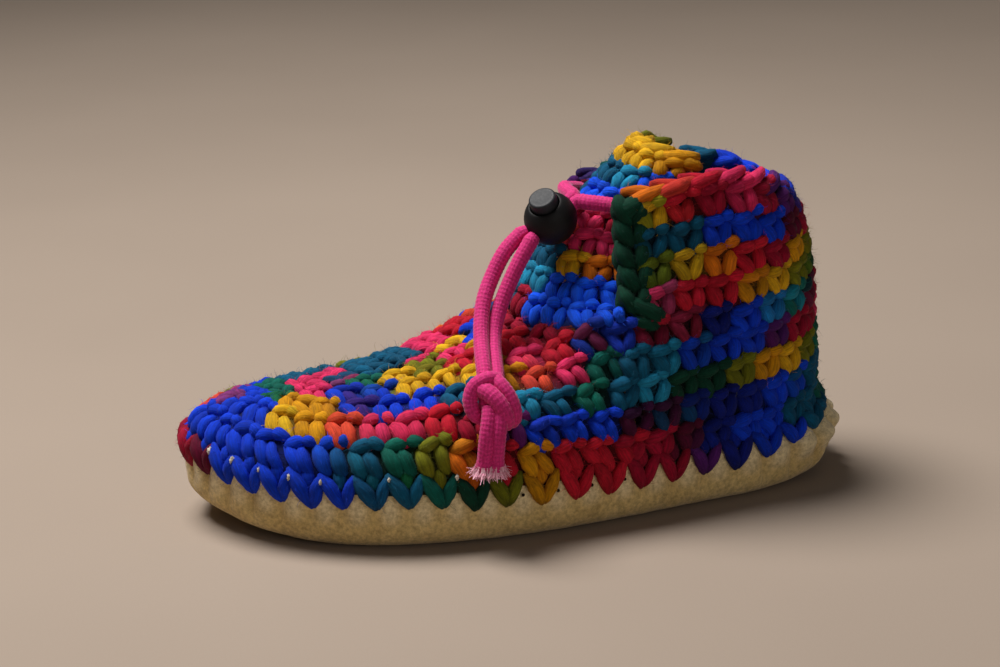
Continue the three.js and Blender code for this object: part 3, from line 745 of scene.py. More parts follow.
# Yarn: rings and sides of a strand, and how much it is flattened on the cloth
RINGS, YARN_SIDES, YARN_FLAT = 8, 8, 0.92
ALONG = np.linspace(0, 1, RINGS)
HUMP = np.sin(np.pi * ALONG)
TO_ENDS = np.abs(2 * ALONG - 1)
# How far the top of a strand stands out of the wall's face
CREST = 0.35


def tubes(centres, radii, guides):
    """Closed round strands: points (strands, rings, sides, 3) and quads. Guides point out of the cloth."""
    along = unit(np.gradient(centres, axis=1))
    across = unit(np.cross(along, guides))[:, :, None, :]
    out = np.cross(across, along[:, :, None, :])
    angle = around(YARN_SIDES)[:, None]
    ring = np.cos(angle) * YARN_FLAT * out + np.sin(angle) * across
    points = centres[:, :, None, :] + radii[:, :, None, None] * ring
    return points, repeated(tube_faces(RINGS, YARN_SIDES), len(centres), RINGS * YARN_SIDES)


class Yarn:
    """Strands laid on a sheet, gathered before they are made into one mesh."""

    def __init__(self, sheet):
        self.sheet = sheet
        self.rows = []

    def strand(self, u, d, shape, colour, clip):
        """shape: offsets along the row, up the wall and out of it, and radii, at each ring."""
        self.rows.append((u, d, *shape, colour, *clip))

    def centres(self):
        u0, d0 = (np.array([row[k] for row in self.rows])[:, None] for k in (0, 1))
        s, t, n, radii = (np.array([row[k] for row in self.rows]) for k in (2, 3, 4, 5))
        low, high = (np.array([row[k] for row in self.rows])[:, None] for k in (7, 8))
        sheet = self.sheet
        stretch = np.linalg.norm(sheet.tangent(u0, d0, low, high), axis=-1)
        wanted = u0 + s / np.maximum(stretch, 1e-6)
        u = np.clip(wanted, low, high)
        d = d0 + t
        tangent = sheet.tangent(u, d, low, high)
        past = (wanted - u)[..., None] * tangent
        normal = sheet.normal(u, d, low, high)
        centres = sheet.point(u, d) + past + normal * n[..., None]
        return centres, radii, normal

    def build(self, name):
        """The mesh of all strands, with the points and colours that loose fibres start from."""
        centres, radii, normal = self.centres()
        colours = np.array([row[6] for row in self.rows])
        strands = len(colours)
        points, faces = tubes(centres, radii, normal)
        lumps = 1 + RANDOM.normal(0, 0.035, (strands, RINGS, 1, 1))
        lumps = lumps + RANDOM.normal(0, 0.03, (strands, RINGS, YARN_SIDES, 1))
        middles = centres[:, :, None, :]
        points = middles + (points - middles) * lumps
        shade = RANDOM.uniform(0.82, 1.15, (strands, 1, 1, 1))
        # Painted shade: each strand darker towards its ends, where it sinks into the cloth
        painted_end_shade = 1 - 0.22 * TO_ENDS[None, :, None, None] ** 2
        tinted = colours[:, None, None, :] * shade * painted_end_shade * np.ones((1, RINGS, YARN_SIDES, 1))
        steps = np.linalg.norm(np.diff(centres, axis=1), axis=2)
        run = np.concatenate([np.zeros((strands, 1)), np.cumsum(steps, axis=1)], axis=1)
        angle = around(YARN_SIDES)
        offset = RANDOM.uniform(0, 200, (strands, 1, 1))
        fibre = np.stack([
            (run[:, :, None] * 0.16 + offset) * np.ones(YARN_SIDES),
            radii[:, :, None] * np.cos(angle) * 2.2 + offset,
            radii[:, :, None] * np.sin(angle) * 2.2,
        ], axis=-1)
        return wool_piece(name, points, faces, WOOL, tinted, fibre), points, tinted


def leg(start, end, fat, bow=0.0, sink=2.3, point=0.32, lift=0.0):
    """One leg of a stitch between (along, up) offsets: fat in the middle, sunk at both ends."""
    s = mix(start[0], end[0], ALONG) + bow * HUMP
    t = mix(start[1], end[1], ALONG)
    radii = fat * (point + (1 - point) * np.sin(np.pi * (0.04 + 0.92 * ALONG)) ** 0.75)
    return s, t, CREST + lift - fat - sink * TO_ENDS ** 2.2, radii


def jitter(amount):
    return RANDOM.uniform(-amount, amount)


# Strands of a stitch: both ends as shares of its size, upright and slanted, thickness, bow, sink and lift
STITCH_STRANDS = (
    ((-0.47, 0.40), (-0.05, -0.60), (-0.52, 0.42), (0.06, -0.60), 2.25, 0.6, 2.3, 0.1),
    ((0.45, 0.40), (0.09, -0.56), (-0.02, 0.42), (0.54, -0.56), 2.1, -0.2, 2.3, 0.0),
    ((-0.52, 0.34), (0.26, 0.52), (-0.46, 0.30), (0.16, 0.60), 1.95, 0.0, 1.7, 0.25),
    ((0.10, 0.52), (0.62, 0.64), (0.08, 0.62), (0.56, 0.46), 1.85, 0.0, 1.7, 0.1),
)


def lay_stitch(yarn, u, d, width, height, slant, runs, clip, shift=0.0):
    """A single crochet stitch: two legs, which lie side by side where slant is 1, under two top loops."""
    grow = (1 + jitter(0.1)) * min(max(height / ROW, 1.0), 1.5) ** 0.6 * (1.1 - 0.1 * slant)
    lean = jitter(0.08)
    rise = jitter(0.6)
    size = np.array([width, height])
    for start, end, slant_start, slant_end, fat, bow, sink, lift in STITCH_STRANDS:
        first = mix(np.array(start), np.array(slant_start), slant) + (jitter(0.08) + lean, jitter(0.07))
        last = mix(np.array(end), np.array(slant_end), slant) + (jitter(0.08) - lean, jitter(0.07))
        fat = fat * grow * (1 + jitter(0.08))
        bow = bow + jitter(0.5)
        along, up, out, radii = leg(first * size, last * size, fat, bow, sink, 0.36, lift + jitter(0.35))
        colour = yarn_at(runs, u + jitter(0.006))
        yarn.strand(u, d, (along + shift, up + rise, out, radii), colour, clip)


# Colour runs of the hand-dyed yarn: each colour lasts to the place after it, 0 toe, 1 heel, 2 toe again
CHARTS = {
    "edge": "crimson .05 maroon .085 blue .285 teal .36 jade .40 green .435 olive .475 gold .52 red "
            ".60 crimson .70 purple .75 navy .79 blue .86 teal .97 jade 1.08 olive 1.14 gold 1.24 "
            "orange 1.3 red 1.42 crimson 1.52 purple 1.58 navy 1.66 blue 1.82 teal 1.88 pink 1.93 "
            "crimson 2",
    0: "blue .245 teal .295 jade .335 olive .395 orange .42 red .47 gold .505 red .61 crimson .66 "
       "maroon .70 navy .76 blue .84 teal .93 jade 1.05 olive 1.12 yellow 1.2 orange 1.26 red 1.36 "
       "crimson 1.46 maroon 1.52 navy 1.62 blue 1.74 cyan 1.8 jade 1.86 olive 1.9 coral 1.95 blue 2",
    1: "blue .145 yellow .195 gold .235 coral .28 pink .335 red .40 crimson .445 purple .485 blue .61 "
       "maroon .66 teal .70 navy .79 blue .87 teal .98 green 1.06 jade 1.14 blue 1.3 purple 1.38 "
       "crimson 1.5 red 1.6 gold 1.68 olive 1.74 teal 1.82 blue 1.9 pink 1.97 blue 2",
    2: "jade .07 olive .12 gold .235 purple .26 blue .365 teal .43 cyan .49 teal .535 jade .58 teal "
       ".62 cyan .66 green .75 olive .79 gold .84 yellow .88 olive .93 jade 1.02 teal 1.12 blue 1.22 "
       "navy 1.3 purple 1.36 pink 1.46 red 1.54 orange 1.6 pink 1.66 teal 1.83 jade 1.92 blue 1.96 "
       "jade 2",
    3: "olive .13 pink .215 purple .235 blue .29 yellow .41 gold .455 coral .50 pink .55 jade .585 "
       "teal .63 cyan .66 teal .70 blue .80 purple .845 crimson .95 pink 1.03 red 1.12 orange 1.18 "
       "gold 1.26 olive 1.32 green 1.38 teal 1.48 blue 1.58 red 1.63 pink 1.67 teal 1.75 pink 1.85 "
       "jade 2",
    4: "pink .2 jade .265 yellow .305 olive .345 red .41 gold .45 pink .50 red .555 blue .605 maroon "
       ".65 red .70 navy .77 blue .82 cyan .865 jade .91 crimson 1.0 maroon 1.08 navy 1.16 blue 1.28 "
       "teal 1.34 olive 1.4 gold 1.5 coral 1.58 red 1.635 pink 1.67 teal 1.76 pink 1.86 purple 2",
    5: "teal .26 olive .33 pink .375 gold .41 red .475 crimson .53 olive .555 blue .60 green .645 "
       "pink .69 red .78 gold .82 yellow .87 olive .93 green 1.0 teal 1.1 blue 1.22 purple 1.3 "
       "crimson 1.4 red 1.5 gold 1.56 blue 1.625 yellow 1.665 pink 1.71 teal 2",
    6: "olive .35 blue .40 crimson .46 purple .49 blue .60 green .645 olive .70 yellow .735 orange "
       ".775 red .82 crimson .865 gold .92 olive 1.0 jade 1.08 teal 1.16 blue 1.28 maroon 1.34 "
       "crimson 1.42 blue 1.55 red 1.65 gold 1.75 olive 2",
    7: "pink .395 crimson .43 blue .60 green .645 teal .72 blue .865 maroon .92 crimson 1.02 red 1.12 "
       "orange 1.18 gold 1.26 olive 1.32 green 1.4 teal 1.5 pink 1.65 red 2",
    8: "blue .60 green .645 yellow .69 red .74 crimson .785 pink .83 crimson .87 purple .93 navy 1.02 "
       "blue 1.12 teal 1.2 jade 1.28 olive 1.34 crimson 1.42 blue 2",
    "collar": "orange .665 coral .70 red .74 crimson .775 pink .84 purple .90 blue 1.15 teal 1.25 "
              "jade 1.34 purple 1.42",
    "outer_flap": "green 2",
    "inner_flap": "crimson .75 purple 2",
}
# The same for the tongue, from its inner edge at -1 to its outer edge at 1, lowest row first
TONGUE_CHARTS = [
    "purple -.5 teal -.1 crimson .18 azure 1",
    "navy -.4 cyan .3 azure 1",
    "crimson -.3 teal .3 yellow .75 orange 1",
    "blue -.2 gold .2 pink 1",
    "olive -.3 purple 0 pink .6 crimson 1",
    "teal -.1 azure 1",
    "green -.4 teal .15 cyan .55 azure 1",
    "olive -.5 yellow .6 gold 1",
]
TONGUE_EDGE = "olive -.6 yellow .45 gold .8 orange 1"


def read_chart(text):
    words = text.split()
    return words[0::2], np.array([float(w) for w in words[1::2]])


CHART_RUNS = {key: read_chart(text) for key, text in CHARTS.items()}
TONGUE_RUNS = [read_chart(text) for text in TONGUE_CHARTS]


def run_dyes(first, second, share):
    """Two dyes that run into each other."""
    return np.exp(mix(np.log(np.asarray(first)), np.log(np.asarray(second)), share))


def yarn_at(runs, u, soft=0.016):
    """Colour of the yarn at a place on a row, with a short change from one dye to the next."""
    names, ends = runs
    i = min(int(np.searchsorted(ends, u)), len(names) - 1)
    colour = np.array(YARN[names[i]])
    if i + 1 < len(names):
        ahead = 0.25 * smoothstep(u, ends[i] - soft, ends[i])
        colour = run_dyes(colour, YARN[names[i + 1]], ahead)
    if i > 0:
        behind = 0.25 * (1 - smoothstep(u, ends[i - 1], ends[i - 1] + soft))
        colour = run_dyes(colour, YARN[names[i - 1]], behind)
    return colour


# Row lines: rows from the rim to the collar, even rows below the slits, and room for the collar's chain
CUFF_ROWS = 9
STRAIGHT_ROWS = 5
COLLAR_ROOM = 3.5
# How much higher each row runs round the toe, and how much higher all rows of the foot run
TOE_SHIFT = [5.0, 7.0, 8.0, 8.6, 8.6, 8.6, 8.6, 8.6, 8.6]
ROW_RISE = 1.2
# Height of the edge stitches' middle
EDGE_MIDDLE = -3.3


def share_of(u):
    u = np.mod(u, 2.0)
    return np.minimum(u, 2 - u)


def toe_share(u):
    return 1 - smoothstep(share_of(u), 0.34, 0.5)


def edge_rise(u):
    """The edge stitches sit higher on the leather round the toe."""
    return 2.6 * (1 - smoothstep(share_of(u), 0.3, 0.5))


def row_height(row, u):
    on_flap = share_of(u) >= FLAP_AT
    tall = (UPPER.end(u) - COLLAR_ROOM - STRAIGHT_ROWS * ROW) / (CUFF_ROWS - STRAIGHT_ROWS)
    return np.where(on_flap & (row >= STRAIGHT_ROWS), tall, ROW)


def row_middle(row, u):
    """Height of the middle of a row on the wall."""
    flat = (row + 0.5) * ROW + ROW_RISE + TOE_SHIFT[row] * toe_share(u)
    cuff = STRAIGHT_ROWS * ROW + (row - STRAIGHT_ROWS + 0.5) * row_height(row, u)
    cuff = np.where(row < STRAIGHT_ROWS, (row + 0.5) * ROW, cuff)
    return mix(flat, cuff, smoothstep(share_of(u), FLAP_AT - 0.08, FLAP_AT))


def row_pitch(row, u):
    """Height that a row has to fill, from the row below it."""
    below = row_middle(row - 1, u) if row else EDGE_MIDDLE + edge_rise(u)
    return row_middle(row, u) - below


def row_at(u, d):
    """Row that covers a height on the wall."""
    middles = np.stack([row_middle(row, u) for row in range(CUFF_ROWS)])
    return np.abs(middles - d).argmin(axis=0)


def row_places(sheet, height, low, high, width):
    """Middles of the stitches along a row, and their width."""
    u = np.linspace(low, high, 500)
    points = sheet.point(u, height(u))
    run = np.concatenate([[0], np.cumsum(np.linalg.norm(np.diff(points, axis=0), axis=1))])
    count = max(1, int(round(run[-1] / width)))
    middles = (np.arange(count) + 0.5) / count * run[-1]
    return np.interp(middles, run, u), run[-1] / count


def row_spans(row):
    """Stretches of the wall that a row covers, cut at the two slits, with the clip of their strands."""
    fine = np.linspace(0, 2, 1441)
    inside = row_middle(row, fine) + 0.05 * ROW < UPPER.end(fine)
    if row < STRAIGHT_ROWS:
        if inside.all():
            return [(0.0, 2.0, ALL_ROUND)]
        low, high = fine[inside].min(), fine[inside].max()
        return [(low, high, (low - 0.02, high + 0.02))]
    spans = [(FLAP_LOW + EDGE_IN, FLAP_HIGH - EDGE_IN, FLAP_CLIP)]
    edge = 1 / HALF
    for near in (fine[inside & (fine < FLAP_LOW - edge)], fine[inside & (fine > FLAP_HIGH + edge)]):
        if len(near):
            spans.append((near.min(), near.max(), (near.min(), near.max())))
    return spans


# Stitches of the upper
STITCH_WIDTH = 10.2
FOOT_SLANT, FLAP_SLANT, TONGUE_SLANT = 0.9, 0.15, 0.5
upper_yarn = Yarn(UPPER)
for row in range(CUFF_ROWS):
    for low, high, clip in row_spans(row):
        places, width = row_places(UPPER, lambda u: row_middle(row, u), low, high, STITCH_WIDTH)
        for u in places:
            d, height = float(row_middle(row, u)), float(row_pitch(row, u))
            slant = FLAP_SLANT if FLAP_LOW <= u <= FLAP_HIGH else FOOT_SLANT
            lay_stitch(upper_yarn, u, d, width, height, slant, CHART_RUNS[row], clip)


# Edge stitches that reach down over the leather, closer together round the toe
TOE_STITCHES, BACK_STITCHES = 12, 12
SIDE_STITCHES = STITCHES / 2
toe_places = (0.42 + 0.86 * np.arange(TOE_STITCHES)) / SIDE_STITCHES
back_places = np.linspace(toe_places[-1], (SIDE_STITCHES - 0.5) / SIDE_STITCHES, BACK_STITCHES + 1)[1:]
EDGE_PLACES = np.concatenate([toe_places, back_places, 2 - back_places[::-1], 2 - toe_places[::-1]])
# How far the tips reach below the rim, at the side and at the heel
SIDE_TIP, HEEL_TIP = -9.0, -2.6


def lay_edge_stitch(u):
    """Two legs that meet in a tip on the leather, and a loop in the first row's colour between them."""
    near = np.abs(EDGE_PLACES - u)
    gap = np.sort(np.minimum(near, 2 - near))[1]
    width = gap * np.linalg.norm(UPPER.tangent(np.array([u]), np.array([0.0]), *ALL_ROUND))
    share = share_of(u)
    rise = float(edge_rise(u))
    colour = yarn_at(CHART_RUNS["edge"], u)
    grow = 1 + jitter(0.06)
    tip = mix(SIDE_TIP, HEEL_TIP, float(smoothstep(share, 0.72, 0.93))) + jitter(0.6)
    toe = float(toe_share(u))
    proud = float(1.2 * smoothstep(share, 0.7, 0.84) - 1.0 * smoothstep(share, 0.86, 0.96))
    left_start = ((-0.50 - 0.1 * toe) * width, 3.0 + jitter(0.5))
    left = leg(
        left_start, (0.08 * width, tip), (2.3 + 0.3 * toe) * grow, 0.9, 0.5, 0.12, 0.7 + 0.3 * toe + proud,
    )
    right_start = (0.46 * width, 2.8 + jitter(0.5))
    right = leg(right_start, (0.15 * width, tip + 0.3), 2.05 * grow, -0.2, 0.5, 0.12, 0.5 + proud)
    notch = leg((-0.04 * width, 5.0), (0.06 * width, -3.4), 2.3 * grow, 0.0, 1.6, 0.3, -0.9)
    upper_yarn.strand(u, rise, notch, yarn_at(CHART_RUNS[0], u), ALL_ROUND)
    upper_yarn.strand(u, rise, left, colour, ALL_ROUND)
    upper_yarn.strand(u, rise, right, colour, ALL_ROUND)


for u in EDGE_PLACES:
    lay_edge_stitch(u)

CHAIN_LENGTH = 9.0


def lay_chain(yarn, low, high, fat, runs, height, depth, clip):
    """A row of long slanted loops along a top edge, one in front and one behind, bent in at their ends."""
    places, step = row_places(yarn.sheet, height, low, high, CHAIN_LENGTH)
    for u in places:
        colour = yarn_at(runs, u)
        for lean, back, rise, bend in ((2.0, 0.0, -0.4, -1.2), (-1.2, depth, 0.3, 1.2)):
            s = mix(-0.78, 0.7, ALONG) * step
            t = mix(-lean, lean, ALONG) + rise + jitter(0.3)
            n = CREST - fat - back + bend * TO_ENDS ** 2.5
            radii = fat * (1 + jitter(0.06)) * (0.4 + 0.6 * np.sin(np.pi * (0.05 + 0.9 * ALONG)) ** 0.7)
            yarn.strand(u, float(height(u)), (s, t, n, radii), colour, clip)


COLLAR_CLIP = (FLAP_LOW + EDGE_IN, FLAP_HIGH - EDGE_IN)
lay_chain(
    upper_yarn, *COLLAR_CLIP, 2.25, CHART_RUNS["collar"], lambda u: UPPER.end(u) - 1.0, 3.2, COLLAR_CLIP,
)

# Loops of a flap's front edge: start and end as (in from the edge, up), thickness, bow, sink, point and lift
FLAP_LOOPS = (
    ((-3.4, 4.6), (0.6, -4.2), 2.7, -0.8, 2.0, 0.36, 0.9),
    ((3.4, 4.2), (1.0, -4.4), 2.4, 0.6, 2.0, 0.36, 0.5),
    ((-2.6, -4.4), (-3.4, 3.6), 2.2, -0.5, 1.4, 0.4, -2.6),
)
# How much the thickness of these loops varies
FLAP_LOOP_SPREAD = (0.3, 0.3, 0.2)
FLAP_TOP_LOOPS = (
    ((2.2, -2.6), (11.6, 0.2), 3.1, 0.0, 1.6, 0.5, 1.2),
    ((10.2, 0.6), (7.0, -6.6), 2.4, 1.4, 1.6, 0.4, 0.8),
)
FLAP_FOOT_LOOPS = (
    ((3.0, 3.4), (15.5, -4.6), 2.8, 0.0, 1.5, 0.42, 1.2),
    ((4.0, -2.4), (13.0, -6.4), 2.2, 0.0, 1.5, 0.4, 0.4),
)
FLAP_LOOP_ROWS, FLAP_LOOP_MIDDLE = 5, 6.6


def lay_flap_edge(u, toward, runs):
    """Fat loops worked up the front edge of a flap. toward is 1 where the flap lies at higher u."""
    top = float(UPPER.end(u))
    start = SLIT_ROW * ROW - 2.0

    def lay(d, colour, middle, first, last, fat, bow, sink, point, lift):
        ends = [((middle + across) * toward, up) for across, up in (first, last)]
        shape = leg(*ends, fat, bow * toward, sink, point, lift)
        upper_yarn.strand(u, d, shape, colour, FLAP_CLIP)

    for j in range(FLAP_LOOP_ROWS):
        middle = FLAP_LOOP_MIDDLE + jitter(0.5)
        d = mix(start + 4.0, top - 3.5, j / (FLAP_LOOP_ROWS - 1)) + jitter(0.5)
        colour = yarn_at(runs, (d - start) / (top - start))
        for (first, last, fat, *rest), spread in zip(FLAP_LOOPS, FLAP_LOOP_SPREAD):
            lay(d, colour, middle, first, last, fat + jitter(spread), *rest)
    for loop in FLAP_TOP_LOOPS:
        lay(top - 1.4, yarn_at(runs, 1), 0.0, *loop)
    for loop in FLAP_FOOT_LOOPS:
        lay(start + 1.5, yarn_at(runs, 0), 0.0, *loop)


lay_flap_edge(FLAP_LOW, 1, CHART_RUNS["outer_flap"])
lay_flap_edge(FLAP_HIGH, -1, CHART_RUNS["inner_flap"])
upper_piece, upper_points, upper_tints = upper_yarn.build("upper_stitches")
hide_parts("upper")

# Stitches of the tongue, and of its two edges as far up as the flaps cover them
TONGUE_LENGTH = float(TONGUE_FACE.ends[0])
TONGUE_ROW = (TONGUE_LENGTH - 2.5) / len(TONGUE_RUNS)
TONGUE_EDGE_ROWS = 6
tongue_yarn = Yarn(TONGUE_FACE)
for row, runs in enumerate(TONGUE_RUNS):
    middle = (row + 0.5) * TONGUE_ROW
    places, width = row_places(TONGUE_FACE, lambda u: 0 * u + middle, *TONGUE_CLIP, STITCH_WIDTH)
    stitches = [(u, 0.0) for u in places]
    if row < TONGUE_EDGE_ROWS:
        stitches += [(side, side * 0.45 * width) for side in TONGUE_CLIP]
    for u, shift in stitches:
        lay_stitch(tongue_yarn, u, middle, width, TONGUE_ROW, TONGUE_SLANT, runs, TONGUE_CLIP, shift)
lay_chain(
    tongue_yarn, -0.88, 0.88, 2.2, read_chart(TONGUE_EDGE), lambda u: 0 * u + TONGUE_LENGTH - 0.8, 3.0,
    TONGUE_CLIP,
)
tongue_piece, tongue_points, tongue_tints = tongue_yarn.build("tongue_stitches")
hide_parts("tongue")


# Backing: the inner half of the crocheted cloth, seen between the stitches and inside the slipper; its front
# face is painted shade, the yarn's colours darkened where shade falls between the stitches
BACK_ROWS = 36
BACK_DEPTH, BACK_LOW = 2.4, -3.0
# Shares of the yarn's colour: painted shade deep between the stitches, lighter painted shade between those on
# top of the vamp, and the share on the lining
PAINTED_GAP_SHADE, PAINTED_VAMP_SHADE, LINING_SHADE = 0.14, 0.4, 0.7
RIB_RELIEF = 0.8


def wrong_side(u, d, row_lines):
    """Raised bars of the back of the cloth."""
    rib = np.abs(np.sin(np.pi * d / row_lines))
    bead = np.abs(np.sin(np.pi * u * 21 + 1.5 * np.floor(d / row_lines)))
    return 1.3 * rib ** 0.8 * (0.45 + 0.55 * bead ** 0.7)


def dyes(runs, rows, places):
    """Colours of the yarn on a grid of rows and places along them."""
    return np.array([[yarn_at(runs[row], u) for row, u in zip(*line)] for line in zip(rows, places)])


def cloth_back(name, front, lining, tint, shade, fibre_way, wrap):
    """A sheet whose front face is painted shade, the yarn's colours darkened, and a lining in the yarn's
    colours. fibre_way runs along its fibres.
    """
    ring = np.concatenate([front, lining[:, ::-1]], axis=1)
    colour = np.concatenate([tint * shade, tint[:, ::-1] * LINING_SHADE], axis=1)
    fibre = np.stack([ring @ np.array(fibre_way), ring[..., 1] * 0.3, ring[..., 2] * 2.0], axis=-1)
    faces = grid_faces(*ring.shape[:2], wrap)
    wool_piece(name, ring, faces[:, ::-1], WOOL, colour, fibre)


def make_backing(name, columns, ends, clip, painted_top_shade):
    """The backing of a stretch of the upper."""
    u = np.repeat(columns[:, None], BACK_ROWS, axis=1)
    d = BACK_LOW + (ends - 0.2 - BACK_LOW)[:, None] * np.linspace(0, 1, BACK_ROWS)[None, :]
    inside = np.clip(u, *clip)
    normal = UPPER.normal(inside, d, *clip)
    front = UPPER.point(inside, d) - BACK_DEPTH * normal
    relief = wrong_side(inside, d, ROW)[..., None] * RIB_RELIEF
    lining = LINING.point(inside, np.maximum(d, 0)) - normal * relief
    along = np.mod(inside, 2)
    tint = dyes(CHART_RUNS, row_at(along, d), along)
    # Painted shade on the front face: darkest low on the wall, lighter towards its top on the vamp
    shade = mix(PAINTED_GAP_SHADE, painted_top_shade, smoothstep(d, 26.0, 42.0))[..., None]
    cloth_back(name, front, lining, tint, shade, (0.1, 0.0, 0.4), False)


FLAP_COLUMN, BACK_IN = round(FLAP_AT * HALF), 5
FRONT_COLUMNS = np.arange(-FLAP_COLUMN, FLAP_COLUMN + 1) / HALF
FLAP_COLUMNS = np.arange(FLAP_COLUMN + BACK_IN, 2 * HALF - FLAP_COLUMN - BACK_IN + 1) / HALF
# The outermost columns stand on the slits, where the wall's height jumps, and take their neighbours' height
front_ends = UPPER.end(FRONT_COLUMNS)
front_ends[[0, -1]] = front_ends[[1, -2]]
make_backing("upper_backing_front", FRONT_COLUMNS, front_ends, ALL_ROUND, PAINTED_VAMP_SHADE)
make_backing("upper_backing_cuff", FLAP_COLUMNS, UPPER.end(FLAP_COLUMNS), FLAP_CLIP, PAINTED_GAP_SHADE)


def make_tongue_backing():
    u, d = np.meshgrid(np.linspace(-1, 1, 41), np.linspace(0.5, TONGUE_LENGTH - 0.5, 33), indexing="ij")
    normal = TONGUE_FACE.normal(u, d, *TONGUE_CLIP)
    face = TONGUE_FACE.point(u, d)
    relief = wrong_side(u * 0.12, d, TONGUE_ROW)[..., None] * RIB_RELIEF
    behind = face - (TONGUE_WALL - 0.9 + relief) * normal
    tint = dyes(TONGUE_RUNS, np.minimum((d / TONGUE_ROW).astype(int), len(TONGUE_RUNS) - 1), u)
    # The tongue's front face is painted shade between its stitches
    cloth_back("tongue_backing", face - BACK_DEPTH * normal, behind, tint, PAINTED_GAP_SHADE, (0.4, 0.0, 0.0), True)


make_tongue_backing()


# Loose fibres that stand off the yarn
HAIR_HALF_WIDTH = 0.04
HAIR_TAPER = (1.0, 0.9, 0.7, 0.35)


def make_fuzz(name, points, tints, count, longest):
    """Fine curled hairs from random places on the strands, as flat ribbons of three segments."""
    strands, rings, sides = points.shape[:3]
    i = RANDOM.integers(0, strands, count)
    j = RANDOM.integers(1, rings - 1, count)
    k = RANDOM.integers(0, sides, count)
    root = points[i, j, k]
    out = unit(root - points[i, j].mean(axis=1))
    swirl = unit(RANDOM.normal(size=(count, 3)))
    length = longest * RANDOM.uniform(0.2, 1.0, (count, 1)) ** 1.5
    way = unit(0.8 * out + swirl)
    spots = [root]
    for _ in range(3):
        spots.append(spots[-1] + way * length / 3)
        way = unit(way + 0.85 * unit(RANDOM.normal(size=(count, 3))) - 0.12 * out)
    wide = unit(np.cross(spots[1] - root, swirl)) * HAIR_HALF_WIDTH
    ribbon, faces = ribbons(spots, wide, HAIR_TAPER)
    # The hairs take the colour of the strand at their root, painted end shade included, made a little paler
    colour = np.repeat(tints[i, j, k] * 1.2 + 0.02, 2 * len(spots), axis=0)
    wool_piece(name, ribbon, faces, FUZZ, colour, np.repeat(root, 2 * len(spots), axis=0))


make_fuzz("upper_fuzz", upper_points, upper_tints, 32000, 3.6)
make_fuzz("upper_down", upper_points, upper_tints, 32000, 2.0)
make_fuzz("tongue_fuzz", tongue_points, tongue_tints, 9000, 3.8)


# Suede sole
SOLE_COLUMNS = 16 * STITCHES
SOLE_U = np.arange(SOLE_COLUMNS) * 2.0 / SOLE_COLUMNS
SOLE_FEET = [footing(*side_of(float(u))) for u in SOLE_U]
SOLE_POINT, SOLE_OUT, SOLE_RIM, SOLE_FLOOR = (np.array([foot[k] for foot in SOLE_FEET]) for k in range(4))
# Rings of the floor, from the middle line out, on the ground and inside
FLOOR_STEPS = (1.0, 0.9, 0.75, 0.6, 0.45, 0.3, 0.2, 0.12, 0.06)
INSIDE_STEPS = (0.5, 1.0)
BEND_RINGS, WALL_RINGS = 9, 12
# Uneven relief of the leather: height in mm, length of its waves, rings it covers, and rings it grows over
RELIEF_HEIGHT, RELIEF_LENGTH, RELIEF_RINGS, RELIEF_GROWTH = 0.22, 9.0, 13, 5
# How much lower the rim is at the heel
HEEL_DROP = 3.4


def sole_ring(inset, z):
    ring = SOLE_POINT - SOLE_OUT * np.broadcast_to(inset, SOLE_RIM.shape)[:, None]
    ring[:, 2] = z
    return ring


def drawn_in(ring, share):
    """A ring of the sole's floor drawn in towards the middle line, where it closes at 1."""
    opposite = ring[(-np.arange(SOLE_COLUMNS)) % SOLE_COLUMNS]
    return mix(ring, (ring + opposite) / 2, share)


def waves(points, scale, seed, count=9):
    """Smooth random relief from a sum of plane waves, about -1 to 1."""
    draw = np.random.default_rng(seed)
    total = np.zeros(points.shape[:-1])
    for _ in range(count):
        direction = unit(draw.normal(size=3)) * draw.uniform(0.6, 1.5) / scale * 2 * math.pi
        total += np.sin(points @ direction + draw.uniform(0, 2 * math.pi))
    return total / math.sqrt(count)


def stitch_pull(u):
    """1 where a stitch draws the leather in, -1 between two stitches."""
    order = np.sort(EDGE_PLACES)
    padded = np.concatenate([order[-1:] - 2, order, order[:1] + 2])
    phase = np.interp(u, padded, np.arange(len(padded)))
    return 1 - 2 * np.abs(np.sin(np.pi * phase)) ** 0.75


